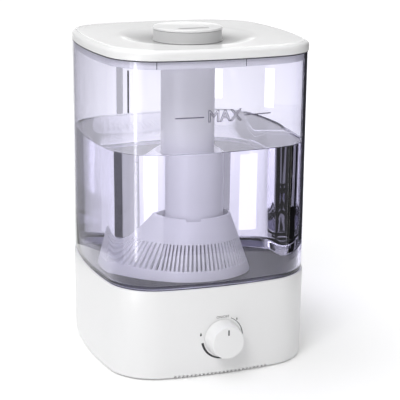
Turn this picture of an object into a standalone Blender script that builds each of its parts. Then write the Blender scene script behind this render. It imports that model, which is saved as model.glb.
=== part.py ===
"""Cool mist humidifier: a white base with a dial, a clear water tank with its mist tube and
strainer, and a lid with a turning mist nozzle.

Sizes below are in millimetres, and every mesh is made in metres. Everything is placed about the
tank's upright axis. The object's own origin lies on the table at the middle of its whole
footprint, dial included, so an empty carries the tank's axis a little behind it.
"""

import math

import bmesh
import bpy
from mathutils import Matrix, Vector

MM = 0.001
GAP = 0.3  # clearance between pieces that touch on the real object

# Rounded-square outline shared by base, tank and lid: arcs for the corners, shallow arcs between.
CORNER_SHARE = 0.4635  # corner radius over half width
SIDE_SHARE = 3.834  # side radius over half width
CORNER_STEPS = 6
SIDE_STEPS = 4

# Levels above the table.
BASE_BOTTOM = 0.9
BASE_TOP = 82.7
LID_BOTTOM = 283.0
LID_RIM = 291.6
NOZZLE_TOP = 298.6

# Half widths of the outline.
BASE_HALF_LOW = 96.3
BASE_HALF_HIGH = 96.9
TANK_HALF = 96.2
LID_HALF = 97.0
LID_CREASE_HALF = 93.2
WALL = 2.5

# Dial on the front face.
DIAL_HEIGHT = 35.5
DIAL_FACE = 96.58  # half width of the base at the dial's height
KNOB_BACK_R = 17.1
KNOB_FRONT_R = 14.7
KNOB_DEPTH = 15.0
KNOB_SKIN = 3.0  # front wall of the knob over its shaft
POINTER_FOOT = 7.0  # from the dial's middle to the pointer's lower end
POINTER_SIZE = (1.3, 4.9)
SHAFT_R = 3.0

# The axis of the tank stands this far behind the object's origin.
AXIS_Y = (DIAL_FACE + KNOB_DEPTH - LID_HALF) / 2

# Base interior.
HOUSING_INNER_LOW = 93.8
HOUSING_INNER_HIGH = 94.2
PLATE_LOW = 1.5
PLATE_HIGH = 3.9
DECK_HALF = 93.8
DECK_LOW = 71.7
DECK_FLOOR = 74.3
RECESS_HALF = 91.5
WELL_R = 24.6
WELL_FLOOR = 32.0
BASIN_WALL = 2.4
FLOAT_BAY = ((-46.0, 22.0), (13.0, 47.6))  # inner corners of the float's bay in the basin
FLOAT_BAY_FLOOR = 48.0
POST_SPOTS = [(78 * sx, 30 * sy) for sy in (-1, 1) for sx in (-1, 1)]
FOOT_SPOTS = [(66 * sx, 68 * sy) for sy in (-1, 1) for sx in (-1, 1)]
FAN_AT = (47.0, 44.0)
FAN_SIDE = 50.0
FAN_LOW = 5.0
FAN_HIGH = 17.0
BOARD_AT = (-38.0, 34.0)
BOARD_TOP = 11.6

# Float rocker and drain valve.
VALVE_AT = (0.0, 34.8)
PIVOT_X = -14.0
PIVOT_HEIGHT = 68.0
FLOAT_X = -33.0

# Tank.
TANK_BOTTOM = 74.6
TANK_FLOOR = 77.2
TANK_SHOULDER = 83.0
TANK_TOP = 282.7
TANK_STEP_HALF = 91.1
COLLAR_R = 20.5
BORE_R = 18.6
TUBE_R = 25.0
TUBE_BORE_R = 23.0
TUBE_TOP = 281.0

# Strainer cone.
CONE_FOOT_R = 49.4
CONE_TOP_R = 31.0
CONE_TOP = 131.6
CONE_WALL = 1.9
CONE_SLOTS = 72
SLOT_LOW = 86.4
SLOT_HIGH = 109.0
SLOT_WIDTH = 1.6
NOTCH_TURN = -17.0  # degrees from the front, towards -X

# Lid and nozzle.
BOWL_R = 64.0
BOWL_FLOOR = 286.1
NOZZLE_R = 31.0
CAP_R = 31.4
CAP_LOW = 296.5
MIST_SLOT = (29.4, 6.5)
MIST_SLOT_AT = (0.0, -16.0)
LINER_SKIRT_BOTTOM = 275.5

FINISHES = {
    "white_plastic": ((0.93, 0.93, 0.93), 0.35, 0.0, 1.0),
    "clear_tank": ((0.80, 0.79, 0.90), 0.05, 0.0, 0.35),
    "silicone": ((0.86, 0.86, 0.86), 0.6, 0.0, 1.0),
    "foot_rubber": ((0.10, 0.10, 0.10), 0.8, 0.0, 1.0),
    "steel": ((0.62, 0.62, 0.64), 0.3, 1.0, 1.0),
    "aluminium": ((0.75, 0.75, 0.77), 0.35, 1.0, 1.0),
    "black_plastic": ((0.06, 0.06, 0.06), 0.45, 0.0, 1.0),
    "board": ((0.05, 0.28, 0.14), 0.5, 0.0, 1.0),
    "piezo": ((0.82, 0.78, 0.68), 0.3, 0.0, 1.0),
    "copper": ((0.72, 0.42, 0.26), 0.35, 1.0, 1.0),
    "dial_print": ((0.12, 0.12, 0.13), 0.5, 0.0, 1.0),
}


# ---------------------------------------------------------------- scene and helpers


def clear_scene():
    for old in list(bpy.data.objects):
        bpy.data.objects.remove(old)
    for name in ("humidifier", "humidifier_cutters"):
        group = bpy.data.collections.new(name)
        bpy.context.scene.collection.children.link(group)
    axis = bpy.data.objects.new("tank_axis", None)
    axis.location = (0, AXIS_Y * MM, 0)
    bpy.data.collections["humidifier"].objects.link(axis)


def finish_material(name):
    """The Principled material of a finish, made once."""
    if name in bpy.data.materials:
        return bpy.data.materials[name]
    colour, roughness, metallic, alpha = FINISHES[name]
    made = bpy.data.materials.new(name)
    made.use_nodes = True
    shader = made.node_tree.nodes["Principled BSDF"]
    shader.inputs["Base Color"].default_value = (*colour, 1)
    shader.inputs["Roughness"].default_value = roughness
    shader.inputs["Metallic"].default_value = metallic
    shader.inputs["Alpha"].default_value = alpha
    return made


def adopt(body, finish):
    """Puts an object on the tank's axis: a part if it has a finish, and otherwise a hidden cutter."""
    body.parent = bpy.data.objects["tank_axis"]
    if finish:
        bpy.data.collections["humidifier"].objects.link(body)
        body.data.materials.append(finish_material(finish))
    else:
        bpy.data.collections["humidifier_cutters"].objects.link(body)
        body.hide_render = True
        body.display_type = "WIRE"
    return body


def placed(name, shape, finish=None, at=(0, 0, 0), turn=(0, 0, 0)):
    """An object from a bmesh in metres, at a place in millimetres, turned by degrees."""
    mesh = bpy.data.meshes.new(name)
    shape.to_mesh(mesh)
    shape.free()
    body = bpy.data.objects.new(name, mesh)
    body.location = Vector(at) * MM
    body.rotation_euler = [math.radians(angle) for angle in turn]
    return adopt(body, finish)


def outline(half):
    """Points of the rounded square, anticlockwise from the middle of the +X side's arc."""
    corner, side = CORNER_SHARE * half, SIDE_SHARE * half
    inset = side - half
    spread = 4 * inset**2 - 8 * (inset**2 - (side - corner) ** 2)
    reach = (math.sqrt(spread) - 2 * inset) / 4
    turn = math.atan2(reach, reach + inset)
    points = []
    for quarter in range(4):
        spin = Matrix.Rotation(quarter * math.pi / 2, 2)
        for step in range(SIDE_STEPS):
            angle = turn * (2 * step / SIDE_STEPS - 1)
            place = (side * math.cos(angle) - inset, side * math.sin(angle))
            points.append(spin @ Vector(place))
        for step in range(CORNER_STEPS):
            angle = turn + (math.pi / 2 - 2 * turn) * step / CORNER_STEPS
            place = (reach + corner * math.cos(angle), reach + corner * math.sin(angle))
            points.append(spin @ Vector(place))
    return points


def swept(name, sections, finish=None, ring=False):
    """A body with the outline for its level sections, (half width, height), down the outer side.

    A ring's last section joins its first; any other body is capped at both ends.
    """
    shape = bmesh.new()
    loops = [
        [shape.verts.new((x * MM, y * MM, height * MM)) for x, y in outline(half)]
        for half, height in sections
    ]
    for upper, lower in zip(loops, loops[1:] + (loops[:1] if ring else [])):
        for index in range(len(upper)):
            after = (index + 1) % len(upper)
            shape.faces.new((upper[index], lower[index], lower[after], upper[after]))
    if not ring:
        shape.faces.new(loops[0])
        shape.faces.new(reversed(loops[-1]))
    return placed(name, shape, finish)


def turned(name, profile, finish=None, at=(0, 0, 0), turn=(0, 0, 0), steps=32):
    """A turned body, its profile (radius, height) down the outer side.

    A profile that starts on the axis ends there too; any other closes into a ring.
    """
    shape = bmesh.new()
    corners = [shape.verts.new((radius * MM, 0, height * MM)) for radius, height in profile]
    for first, second in zip(corners, corners[1:]):
        shape.edges.new((first, second))
    if profile[0][0] > 0:
        shape.edges.new((corners[-1], corners[0]))
    body = placed(name, shape, finish, at, turn)
    screw = body.modifiers.new("turn", "SCREW")
    screw.steps = screw.render_steps = steps
    screw.use_merge_vertices = True
    screw.merge_threshold = 0.00001
    return body


def disc(name, radius, low, high, finish=None, at=(0, 0), sides=24):
    """An upright cylinder between two levels."""
    shape = bmesh.new()
    bmesh.ops.create_cone(
        shape,
        cap_ends=True,
        segments=sides,
        radius1=radius * MM,
        radius2=radius * MM,
        depth=(high - low) * MM,
    )
    return placed(name, shape, finish, (*at, (low + high) / 2))


def blocks(name, corners, finish=None, at=(0, 0, 0), turn=(0, 0, 0)):
    """Boxes given by their low and high corners, as one object."""
    shape = bmesh.new()
    for low, high in corners:
        middle = (Vector(low) + Vector(high)) / 2
        size = Vector(high) - Vector(low)
        place = Matrix.Translation(middle * MM) @ Matrix.Diagonal((*(size * MM), 1))
        bmesh.ops.create_cube(shape, size=1, matrix=place)
    return placed(name, shape, finish, at, turn)


def around(size, middle, count, offset=0.0, tilt=0.0):
    """Equal boxes spaced evenly about the axis, each tilted about its own radius, as a bmesh."""
    shape = bmesh.new()
    for index in range(count):
        spin = Matrix.Rotation(2 * math.pi * index / count + math.radians(offset), 4, "Z")
        place = spin @ Matrix.Translation(Vector(middle) * MM)
        lean = Matrix.Rotation(math.radians(tilt), 4, "X")
        stretch = Matrix.Diagonal((*(Vector(size) * MM), 1))
        bmesh.ops.create_cube(shape, size=1, matrix=place @ lean @ stretch)
    return shape


def combine(body, operation, others):
    for other in others:
        boolean = body.modifiers.new(other.name, "BOOLEAN")
        boolean.operation = operation
        boolean.object = other
    return body


def cut(body, *cutters):
    return combine(body, "DIFFERENCE", cutters)


def join(body, *additions):
    return combine(body, "UNION", additions)


# ---------------------------------------------------------------- base


def base_housing():
    """The white skirt of the base: one tapered wall with a rounded lip, open above and below."""
    lip = 1.0
    housing = swept(
        "base_housing",
        [
            (HOUSING_INNER_HIGH, BASE_TOP),
            (BASE_HALF_HIGH - lip, BASE_TOP),
            (BASE_HALF_HIGH - 0.3 * lip, BASE_TOP - 0.3 * lip),
            (BASE_HALF_HIGH, BASE_TOP - lip),
            (BASE_HALF_LOW, BASE_BOTTOM + 2.4),
            (BASE_HALF_LOW - 0.5, BASE_BOTTOM + 0.7),
            (BASE_HALF_LOW - 1.4, BASE_BOTTOM),
            (HOUSING_INNER_LOW, BASE_BOTTOM),
        ],
        "white_plastic",
        ring=True,
    )
    pitch, width, count = 3.75, 1.9, 24
    vents = []
    for index in range(count):
        middle = (index - (count - 1) / 2) * pitch
        low = (middle - width / 2, -99, -1)
        vents.append((low, (middle + width / 2, -88, BASE_BOTTOM + 1.8)))
    shaft_hole = turned("shaft_hole", [(0, 6), (4.5, 6), (4.5, -6), (0, -6)], steps=16,
                        at=(0, -DIAL_FACE, DIAL_HEIGHT), turn=(90, 0, 0))
    socket_hole = turned("socket_hole", [(0, 6), (5.5, 6), (5.5, -6), (0, -6)], steps=20,
                         at=(0, BASE_HALF_LOW, 14), turn=(90, 0, 0))
    cut(housing, blocks("front_vents", vents), shaft_hole, socket_hole)


def base_deck():
    """The top of the base: a recess for the tank over a basin with a mist well and a float bay."""
    deck = swept("base_deck", [(DECK_HALF, BASE_TOP - GAP), (DECK_HALF, DECK_LOW)], "white_plastic")
    rise = DECK_LOW + 0.8
    (west, south), (east, north) = FLOAT_BAY
    edge = BASIN_WALL
    bay_low = (west - edge, south - edge, FLOAT_BAY_FLOOR - edge)
    bay = blocks("bay_outside", [(bay_low, (east + edge, north + edge, rise))])
    heading = math.degrees(math.atan2(FAN_AT[1], FAN_AT[0]))
    far = math.hypot(*FAN_AT)
    channel = blocks("channel_outside", [((20, -10.4, 63.6), (far, 10.4, rise))], turn=(0, 0, heading))
    channel_end = disc("channel_end_outside", 10.4, 63.6, rise, at=FAN_AT)
    well = disc("well_outside", WELL_R + edge, WELL_FLOOR - 4, rise, sides=32)
    join(deck, well, bay, channel, channel_end)
    for number, spot in enumerate(POST_SPOTS, 1):
        join(deck, disc(f"post_{number}", 4, PLATE_HIGH + GAP, rise, at=spot, sides=12))

    recess = swept("recess", [(RECESS_HALF, BASE_TOP + 1), (RECESS_HALF, DECK_FLOOR)])
    well_inside = disc("well_inside", WELL_R, WELL_FLOOR, DECK_FLOOR + 1, sides=32)
    bay_high = (east, north, DECK_FLOOR + 1)
    bay_inside = blocks("bay_inside", [((west, south, FLOAT_BAY_FLOOR), bay_high)])
    trough_box = ((15, -8, 66), (far, 8, DECK_FLOOR + 1))
    trough = blocks("channel_inside", [trough_box], turn=(0, 0, heading))
    trough_end = disc("channel_end_inside", 8, 66, DECK_FLOOR + 1, at=FAN_AT)
    air_hole = disc("air_hole", 7, 60, 67, at=FAN_AT)
    disc_hole = disc("transducer_hole", 11, WELL_FLOOR - 6, WELL_FLOOR + 1)
    cut(deck, recess, well_inside, bay_inside, trough, trough_end, air_hole, disc_hole)
    for number, spot in enumerate(POST_SPOTS, 1):
        cut(deck, disc(f"pilot_{number}", 1.8, 0, 16, at=spot, sides=10))
    for side in (-15, 15):
        pilot = disc(f"bracket_pilot_{side}", 1.6, 20, WELL_FLOOR - 0.8, at=(side, 0), sides=10)
        cut(deck, pilot)

    ears = [
        ((PIVOT_X - 3, VALVE_AT[1] + side - 1.5, FLOAT_BAY_FLOOR - 1),
         (PIVOT_X + 3, VALVE_AT[1] + side + 1.5, PIVOT_HEIGHT + 3))
        for side in (-5.8, 5.8)
    ]
    join(deck, blocks("pivot_ears", ears))
    pin_hole = turned("pin_hole", [(0, 9), (1.5, 9), (1.5, -9), (0, -9)], steps=12,
                      at=(PIVOT_X, VALVE_AT[1], PIVOT_HEIGHT), turn=(90, 0, 0))
    cut(deck, pin_hole)


def bottom_plate():
    """The closing plate under the base, with the fan's intake slots and pegs for the board."""
    half = HOUSING_INNER_LOW - GAP
    plate = swept("bottom_plate", [(half, PLATE_HIGH), (half, PLATE_LOW)], "white_plastic")
    pegs = [
        disc(f"peg_{sx}_{sy}", 2.5, PLATE_LOW + 1, 9.7, sides=10,
             at=(BOARD_AT[0] + 26 * sx, BOARD_AT[1] + 17 * sy))
        for sx in (-1, 1) for sy in (-1, 1)
    ]
    join(plate, *pegs)
    reach = 20.0
    slots = []
    for offset in range(-18, 19, 6):
        length = math.sqrt(reach**2 - offset**2) + 1
        low = (FAN_AT[0] - length, FAN_AT[1] + offset - 1.5, 0)
        slots.append((low, (FAN_AT[0] + length, FAN_AT[1] + offset + 1.5, PLATE_HIGH + 1)))
    cut(plate, blocks("intake_slots", slots))
    for number, spot in enumerate(FOOT_SPOTS, 1):
        cut(plate, disc(f"foot_hole_{number}", 2.8, 0, PLATE_HIGH + 1, at=spot, sides=12))
    for number, spot in enumerate(POST_SPOTS, 1):
        cut(plate, disc(f"head_recess_{number}", 3.6, 0, 3.1, at=spot, sides=12))
        cut(plate, disc(f"screw_hole_{number}", 1.9, 0, PLATE_HIGH + 1, at=spot, sides=10))


def base_fasteners():
    """Rubber feet pressed into the plate, and the screws that hold the plate to the deck's posts."""
    foot = [(0, 3.6), (2.5, 3.6), (2.5, 1.2), (7.2, 1.2), (7.5, 0.9), (7.2, 0), (0, 0)]
    for number, spot in enumerate(FOOT_SPOTS, 1):
        turned(f"foot_{number}", foot, "foot_rubber", at=(*spot, 0), steps=16)
    screw = [(0, 14), (0.9, 14), (1.5, 12.5), (1.5, 2.8), (3.2, 2.6), (2.9, 1.6), (0, 1.6)]
    for number, spot in enumerate(POST_SPOTS, 1):
        turned(f"base_screw_{number}", screw, "steel", at=(*spot, 0), steps=10)


def transducer():
    """The piezo disc that makes the mist, in its rubber ring, held up by a screwed bracket."""
    low = WELL_FLOOR - 3.7
    ring = [(10.7, low + 3), (10.7, low), (8.2, low), (8.2, low + 0.7),
            (9.9, low + 0.7), (9.9, low + 2.3), (8.2, low + 2.3), (8.2, low + 3)]
    turned("transducer_gasket", ring, "silicone", steps=16)
    disc("transducer_disc", 9.6, low + 1, low + 2, "piezo")
    top = WELL_FLOOR - 4.3
    plate = [(20, top), (20, top - 1.8), (7, top - 1.8), (7, top)]
    bracket = turned("transducer_bracket", plate, "aluminium", steps=24)
    screw = [(0, 30.8), (0.8, 30.8), (1.25, 29.8), (1.25, 25.7), (2.8, 25.6), (2.5, 24.2), (0, 24.2)]
    for number, side in enumerate((-15, 15), 1):
        cut(bracket, disc(f"bracket_hole_{number}", 1.6, 20, 30, at=(side, 0), sides=10))
        turned(f"bracket_screw_{number}", screw, "steel", at=(side, 0, 0), steps=10)


def float_rocker():
    """The float, its arm on a pivot pin, and the sensor under it: as it sinks the arm opens the valve."""
    axis = (PIVOT_X, VALVE_AT[1], PIVOT_HEIGHT)
    reach = VALVE_AT[0] - PIVOT_X
    beam = ((FLOAT_X - PIVOT_X - 4, -2.4, -1.5), (reach + 2.4, 2.4, 1.5))
    arm = blocks("float_arm", [beam], "white_plastic", at=axis)
    hub = turned("arm_hub", [(0, 2.4), (3.4, 2.4), (3.4, -2.4), (0, -2.4)], at=axis, turn=(90, 0, 0),
                 steps=16)
    push_pin = disc("push_pin", 1.6, PIVOT_HEIGHT, TANK_BOTTOM - 0.7, at=VALVE_AT, sides=12)
    bore = turned("arm_bore", [(0, 4), (1.5, 4), (1.5, -4), (0, -4)], at=axis, turn=(90, 0, 0),
                  steps=12)
    cut(join(arm, hub, push_pin), bore)
    turned("float_pin", [(0, 7.6), (1.2, 7.6), (1.2, -7.6), (0, -7.6)], "steel", at=axis,
           turn=(90, 0, 0), steps=12)
    top = PIVOT_HEIGHT - 1.8
    body = [(0, top), (9.5, top), (10.5, top - 1), (10.5, 56.5), (9.5, 55.5), (0, 55.5)]
    turned("float", body, "white_plastic", at=(FLOAT_X, VALVE_AT[1], 0), steps=20)
    disc("float_magnet", 3, 53.3, 55.2, "steel", at=(FLOAT_X, VALVE_AT[1]), sides=12)
    low, high = FLOAT_BAY_FLOOR - 7.4, FLOAT_BAY_FLOOR - 2.7
    near = VALVE_AT[1] - 2.5
    switch = [((FLOAT_X - 8, near, low), (FLOAT_X + 8, near + 5, high))]
    blocks("float_sensor", switch, "black_plastic")


def fan():
    """A square axial fan over the intake slots, and the funnel that leads its air to the deck."""
    side = FAN_SIDE / 2
    middle = (*FAN_AT, 0)
    frame = blocks("fan_frame", [((-side, -side, FAN_LOW), (side, side, FAN_HIGH))], "black_plastic",
                   at=middle)
    cut(frame, disc("fan_tunnel", 23.5, FAN_LOW - 1, FAN_HIGH + 1, at=FAN_AT, sides=32))
    hub = disc("fan_hub", 9, FAN_LOW, FAN_LOW + 3, at=FAN_AT, sides=20)
    strut_boxes = around((20, 3, 2), (15, 0, FAN_LOW + 1.2), 3, offset=30)
    struts = placed("fan_struts", strut_boxes, at=middle)
    join(frame, hub, struts)
    cut(frame, disc("fan_bearing", 1.8, 0, FAN_HIGH, at=FAN_AT, sides=12))

    low = FAN_LOW + 3.4
    profile = [(0, FAN_HIGH - 1), (8, FAN_HIGH - 1), (9, FAN_HIGH - 2), (9, low), (1.4, low),
               (1.4, low - 2.8), (0, low - 2.8)]
    rotor = turned("fan_rotor", profile, "black_plastic", at=middle, steps=20)
    blade_boxes = around((14.2, 1.3, 9), (15.4, 0, (low + FAN_HIGH) / 2), 7, tilt=42)
    join(rotor, placed("fan_blades", blade_boxes, at=middle))

    start = FAN_HIGH + GAP
    funnel = [(9.3, 63.3), (9.3, 38), (24.6, start + 3), (24.6, start),
              (22.8, start), (22.8, start + 2.5), (7.5, 37.5), (7.5, 63.3)]
    turned("air_duct", funnel, "white_plastic", at=middle, steps=20)


def electronics():
    """The driver board with its heat sink, coil and capacitor, and the rear power socket."""
    x, y = BOARD_AT
    blocks("main_board", [((x - 30, y - 21, BOARD_TOP - 1.6), (x + 30, y + 21, BOARD_TOP))], "board")
    rest = BOARD_TOP + GAP
    sink = blocks("heatsink", [((x - 26, y - 16, rest), (x - 4, y - 2, rest + 11))], "aluminium")
    fins = [((x - 30, y - 13.6 + 3.2 * n, rest + 2), (x, y - 12 + 3.2 * n, rest + 12)) for n in range(3)]
    cut(sink, blocks("fin_gaps", fins))
    coil = [(8, rest + 8), (8, rest + 1), (7, rest), (4, rest), (4, rest + 8)]
    turned("power_coil", coil, "copper", at=(x - 14, y + 10, 0), steps=20)
    disc("capacitor", 5, rest, rest + 12, "black_plastic", at=(x + 10, y + 10), sides=20)

    wall = BASE_HALF_LOW - HOUSING_INNER_LOW + 0.3
    socket = [(0, -12), (7.5, -12), (7.5, -wall - GAP), (5.2, -wall - GAP), (5.2, 0), (2.9, 0),
              (2.9, -9), (1.1, -9), (1.1, -1.5), (0, -1.5)]
    turned("dc_socket", socket[::-1], "black_plastic", at=(0, BASE_HALF_LOW, 14), turn=(-90, 0, 0),
           steps=20)


def dial():
    """The knob on its shaft, the potentiometer behind the wall, and the nut between them."""
    face = (0, -DIAL_FACE, DIAL_HEIGHT)
    wall = 3.2
    body = [(4.2, 2.6), (4.2, -wall), (8.5, -wall), (8.5, -12.5), (3.3, -12.5), (3.3, 2.6)]
    turned("dial_potentiometer", body, "steel", at=face, turn=(90, 0, 0), steps=20)
    tip = KNOB_DEPTH - KNOB_SKIN - GAP
    shaft = [(0, tip), (SHAFT_R - 0.4, tip), (SHAFT_R, tip - 0.4), (SHAFT_R, -11), (0, -11)]
    turned("dial_shaft", shaft, "steel", at=face, turn=(90, 0, 0), steps=16)
    nut = [(6.4, 2.4), (6.4, GAP), (4.5, GAP), (4.5, 2.4)]
    turned("dial_nut", nut, "steel", at=face, turn=(90, 0, 0), steps=12)
    front = KNOB_DEPTH
    profile = [
        (0, front), (KNOB_FRONT_R - 0.8, front), (KNOB_FRONT_R, front - 0.8),
        (KNOB_BACK_R, 0.8), (KNOB_BACK_R - 0.3, 0.4), (KNOB_BACK_R - 1.9, 0.4),
        (KNOB_FRONT_R - 1.9, front - 2.4), (5.2, front - 2.4), (5.2, 2.9), (3.3, 2.9),
        (3.3, front - KNOB_SKIN), (0, front - KNOB_SKIN),
    ]
    knob = turned("dial_knob", profile, "white_plastic", at=face, turn=(90, 0, 0), steps=28)
    half, length = POINTER_SIZE[0] / 2, POINTER_SIZE[1]
    foot, outer = DIAL_HEIGHT + POINTER_FOOT, -DIAL_FACE - front
    seat = [((-half - GAP, outer - 1, foot - GAP), (half + GAP, outer + 0.9, foot + length + GAP))]
    cut(knob, blocks("pointer_seat", seat))
    pointer = [((-half, outer, foot), (half, outer + 0.6, foot + length))]
    blocks("dial_pointer", pointer, "dial_print")


# ---------------------------------------------------------------- tank


def tank():
    """The clear tank: a stepped foot that drops into the deck, a floor with a collar, open on top."""
    inner = TANK_HALF - WALL
    shell = swept(
        "tank",
        [
            (TANK_STEP_HALF - WALL - 1.3, TANK_FLOOR),
            (TANK_STEP_HALF - WALL, TANK_FLOOR + 1.3),
            (TANK_STEP_HALF - WALL, TANK_SHOULDER + 2.0),
            (inner - 1.2, TANK_SHOULDER + 2.9),
            (inner, TANK_SHOULDER + 4.4),
            (inner, TANK_TOP),
            (TANK_HALF, TANK_TOP),
            (TANK_HALF, TANK_SHOULDER + 3.4),
            (TANK_HALF - 0.9, TANK_SHOULDER + 1.0),
            (TANK_HALF - 2.8, TANK_SHOULDER),
            (TANK_STEP_HALF, TANK_SHOULDER),
            (TANK_STEP_HALF, TANK_BOTTOM + 0.8),
            (TANK_STEP_HALF - 0.8, TANK_BOTTOM),
        ],
        "clear_tank",
    )
    join(shell, disc("collar", COLLAR_R, TANK_BOTTOM + 1, 96, sides=32))
    bore = disc("collar_bore", BORE_R, TANK_BOTTOM - 2, 100, sides=32)
    cut(shell, bore, disc("drain", 4.8, TANK_BOTTOM - 2, TANK_FLOOR + 2, at=VALVE_AT, sides=20))


def mist_tube():
    """The white tube that carries mist from the collar to the lid, and the seals at its two ends."""
    low = TANK_FLOOR + GAP
    walls = [(TUBE_R, TUBE_TOP), (TUBE_R, low), (TUBE_BORE_R, low), (TUBE_BORE_R, TUBE_TOP)]
    turned("mist_tube", walls, "white_plastic", steps=32)
    inner, outer = COLLAR_R + GAP, TUBE_BORE_R - GAP
    for name, start in (("tube_seal_lower", low), ("tube_seal_upper", 268.0)):
        ring = [(outer, start + 4), (outer, start), (inner, start), (inner, start + 4)]
        turned(name, ring, "silicone", steps=24)


def cone_radius(height):
    """The strainer's outer radius at a height."""
    share = (height - TANK_FLOOR - GAP) / (CONE_TOP - TANK_FLOOR - GAP)
    return CONE_FOOT_R + (CONE_TOP_R - CONE_FOOT_R) * share


def strainer_cone():
    """The slotted cone round the tube's foot, with a shelf that closes it on the tube."""
    low, shelf = TANK_FLOOR + GAP, 124.0
    profile = [
        (CONE_TOP_R, CONE_TOP),
        (CONE_FOOT_R, low),
        (CONE_FOOT_R - CONE_WALL, low),
        (cone_radius(shelf) - CONE_WALL, shelf),
        (TUBE_R + GAP, shelf),
        (TUBE_R + GAP, shelf + 1.8),
        (cone_radius(shelf + 1.8) - CONE_WALL, shelf + 1.8),
        (CONE_TOP_R - CONE_WALL, CONE_TOP),
    ]
    cone = turned("strainer_cone", profile, "white_plastic", steps=CONE_SLOTS)
    middle = (SLOT_LOW + SLOT_HIGH) / 2
    size = (16, SLOT_WIDTH, SLOT_HIGH - SLOT_LOW)
    slots = around(size, (cone_radius(middle), 0, middle), CONE_SLOTS,
                   offset=180 / CONE_SLOTS)
    notch_box = ((-6.5, -40, CONE_TOP - 2.6), (6.5, -20, CONE_TOP + 2))
    notch = blocks("strainer_notch", [notch_box], turn=(0, 0, NOTCH_TURN))
    cut(cone, placed("strainer_slots", slots), notch)


def drain_valve():
    """The sprung valve in the tank's floor, in its cage under the strainer."""
    at = (*VALVE_AT, 0)
    low = TANK_FLOOR + GAP
    flange = low + 1.7
    stem = [(0, 89), (1.5, 89), (1.5, flange + 1.6), (6.6, flange + 1.6), (6.6, flange),
            (1.8, flange), (1.8, TANK_BOTTOM - 0.4), (0, TANK_BOTTOM - 0.4)]
    turned("valve_plunger", stem, "white_plastic", at=at, steps=16)
    washer = [(6.8, flange - GAP), (6.8, low), (2.1, low), (2.1, flange - GAP)]
    turned("valve_seal", washer, "silicone", at=at, steps=16)
    shell = [(8, 90), (8, low), (7.2, low), (7.2, 88.3), (1.9, 88.3), (1.9, 90)]
    cage = turned("valve_cage", shell, "white_plastic", at=at, steps=24)
    windows = around((6, 6, 5), (7.5, 0, low + 5), 4, offset=45)
    cut(cage, placed("cage_windows", windows, at=at))

    turns, points_each, start, end = 4, 8, flange + 2.3, 87.7
    path = bpy.data.curves.new("valve_spring", "CURVE")
    path.dimensions = "3D"
    path.bevel_depth = 0.35 * MM
    path.bevel_resolution = 1
    path.use_fill_caps = True
    line = path.splines.new("POLY")
    line.points.add(turns * points_each)
    for index, point in enumerate(line.points):
        angle = 2 * math.pi * index / points_each
        height = start + (end - start) * index / (turns * points_each)
        point.co = (4 * MM * math.cos(angle), 4 * MM * math.sin(angle), height * MM, 1)
    spring = bpy.data.objects.new("valve_spring", path)
    spring.location = Vector(at) * MM
    adopt(spring, "steel")


# ---------------------------------------------------------------- lid


def lid_cover():
    """The white lid: a low rim round a flat top, with a round bowl for the nozzle."""
    cover = swept(
        "lid_cover",
        [
            (LID_CREASE_HALF - 4, LID_RIM - 0.5),
            (LID_CREASE_HALF, LID_RIM),
            (LID_HALF - 1.8, LID_RIM - 0.9),
            (LID_HALF - 0.5, LID_RIM - 2.4),
            (LID_HALF, LID_RIM - 4.4),
            (LID_HALF, LID_BOTTOM),
        ],
        "white_plastic",
    )
    hollow = swept("lid_hollow", [(LID_HALF - WALL, 288.6), (LID_HALF - WALL, LID_BOTTOM - 1)])
    cut(hollow, disc("bowl_back", BOWL_R + 2, LID_BOTTOM + 0.8, LID_RIM, sides=32))
    bowl_profile = [(0, LID_RIM + 2), (BOWL_R, LID_RIM + 2), (BOWL_R, LID_RIM - 0.5)]
    drop = LID_RIM - 0.5 - BOWL_FLOOR
    steps = 5
    for step in range(1, steps + 1):
        share = step / steps
        radius = BOWL_R - (BOWL_R - 40) * share
        bowl_profile.append((radius, BOWL_FLOOR + drop * (1 + math.cos(math.pi * share)) / 2))
    bowl_profile.append((0, BOWL_FLOOR))
    bowl = turned("lid_bowl", bowl_profile, steps=32)
    cut(cover, hollow, bowl, disc("nozzle_hole", 24, LID_BOTTOM - 2, BOWL_FLOOR + 1, sides=32))


def lid_liner():
    """The tray under the lid, with the skirt that plugs the tank and the spigot that enters the tube."""
    half = TANK_HALF - WALL - 0.5
    top = LID_BOTTOM + 0.3
    liner = swept(
        "lid_liner",
        [(half - 1, top), (half, top - 1), (half, LINER_SKIRT_BOTTOM), (half - 2.2, LINER_SKIRT_BOTTOM),
         (half - 2.2, top - 2)],
        "white_plastic",
    )
    join(liner, disc("spigot", COLLAR_R, 264, top - 1, sides=32))
    cut(liner, disc("spigot_bore", BORE_R, 260, top + 2, sides=32))


def nozzle():
    """The turning nozzle: a hollow drum with a collar through the lid, and a slotted cap."""
    foot = BOWL_FLOOR + GAP
    drum = [(NOZZLE_R, CAP_LOW - GAP), (NOZZLE_R, foot + 1.6), (NOZZLE_R + 0.5, foot), (23.6, foot),
            (23.6, LID_BOTTOM + 0.7), (21, LID_BOTTOM + 0.7), (21, foot + 2.2),
            (NOZZLE_R - 2.4, foot + 2.2), (NOZZLE_R - 2.4, CAP_LOW - GAP)]
    turned("nozzle_body", drum, "white_plastic", steps=32)
    plate = [(0, NOZZLE_TOP), (CAP_R - 0.7, NOZZLE_TOP), (CAP_R, NOZZLE_TOP - 0.6), (CAP_R, CAP_LOW),
             (0, CAP_LOW)]
    cap = turned("nozzle_cap", plate, "white_plastic", steps=32)
    length, width = MIST_SLOT
    x, y = MIST_SLOT_AT
    middle = (length - width) / 2
    span = ((x - middle, y - width / 2, CAP_LOW - 1), (x + middle, y + width / 2, NOZZLE_TOP + 1))
    slot = blocks("mist_slot", [span])
    ends = [disc(f"mist_slot_end_{side}", width / 2, CAP_LOW - 2, NOZZLE_TOP + 2, at=(x + side * middle, y),
                 sides=16) for side in (-1, 1)]
    cut(cap, slot, *ends)


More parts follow.
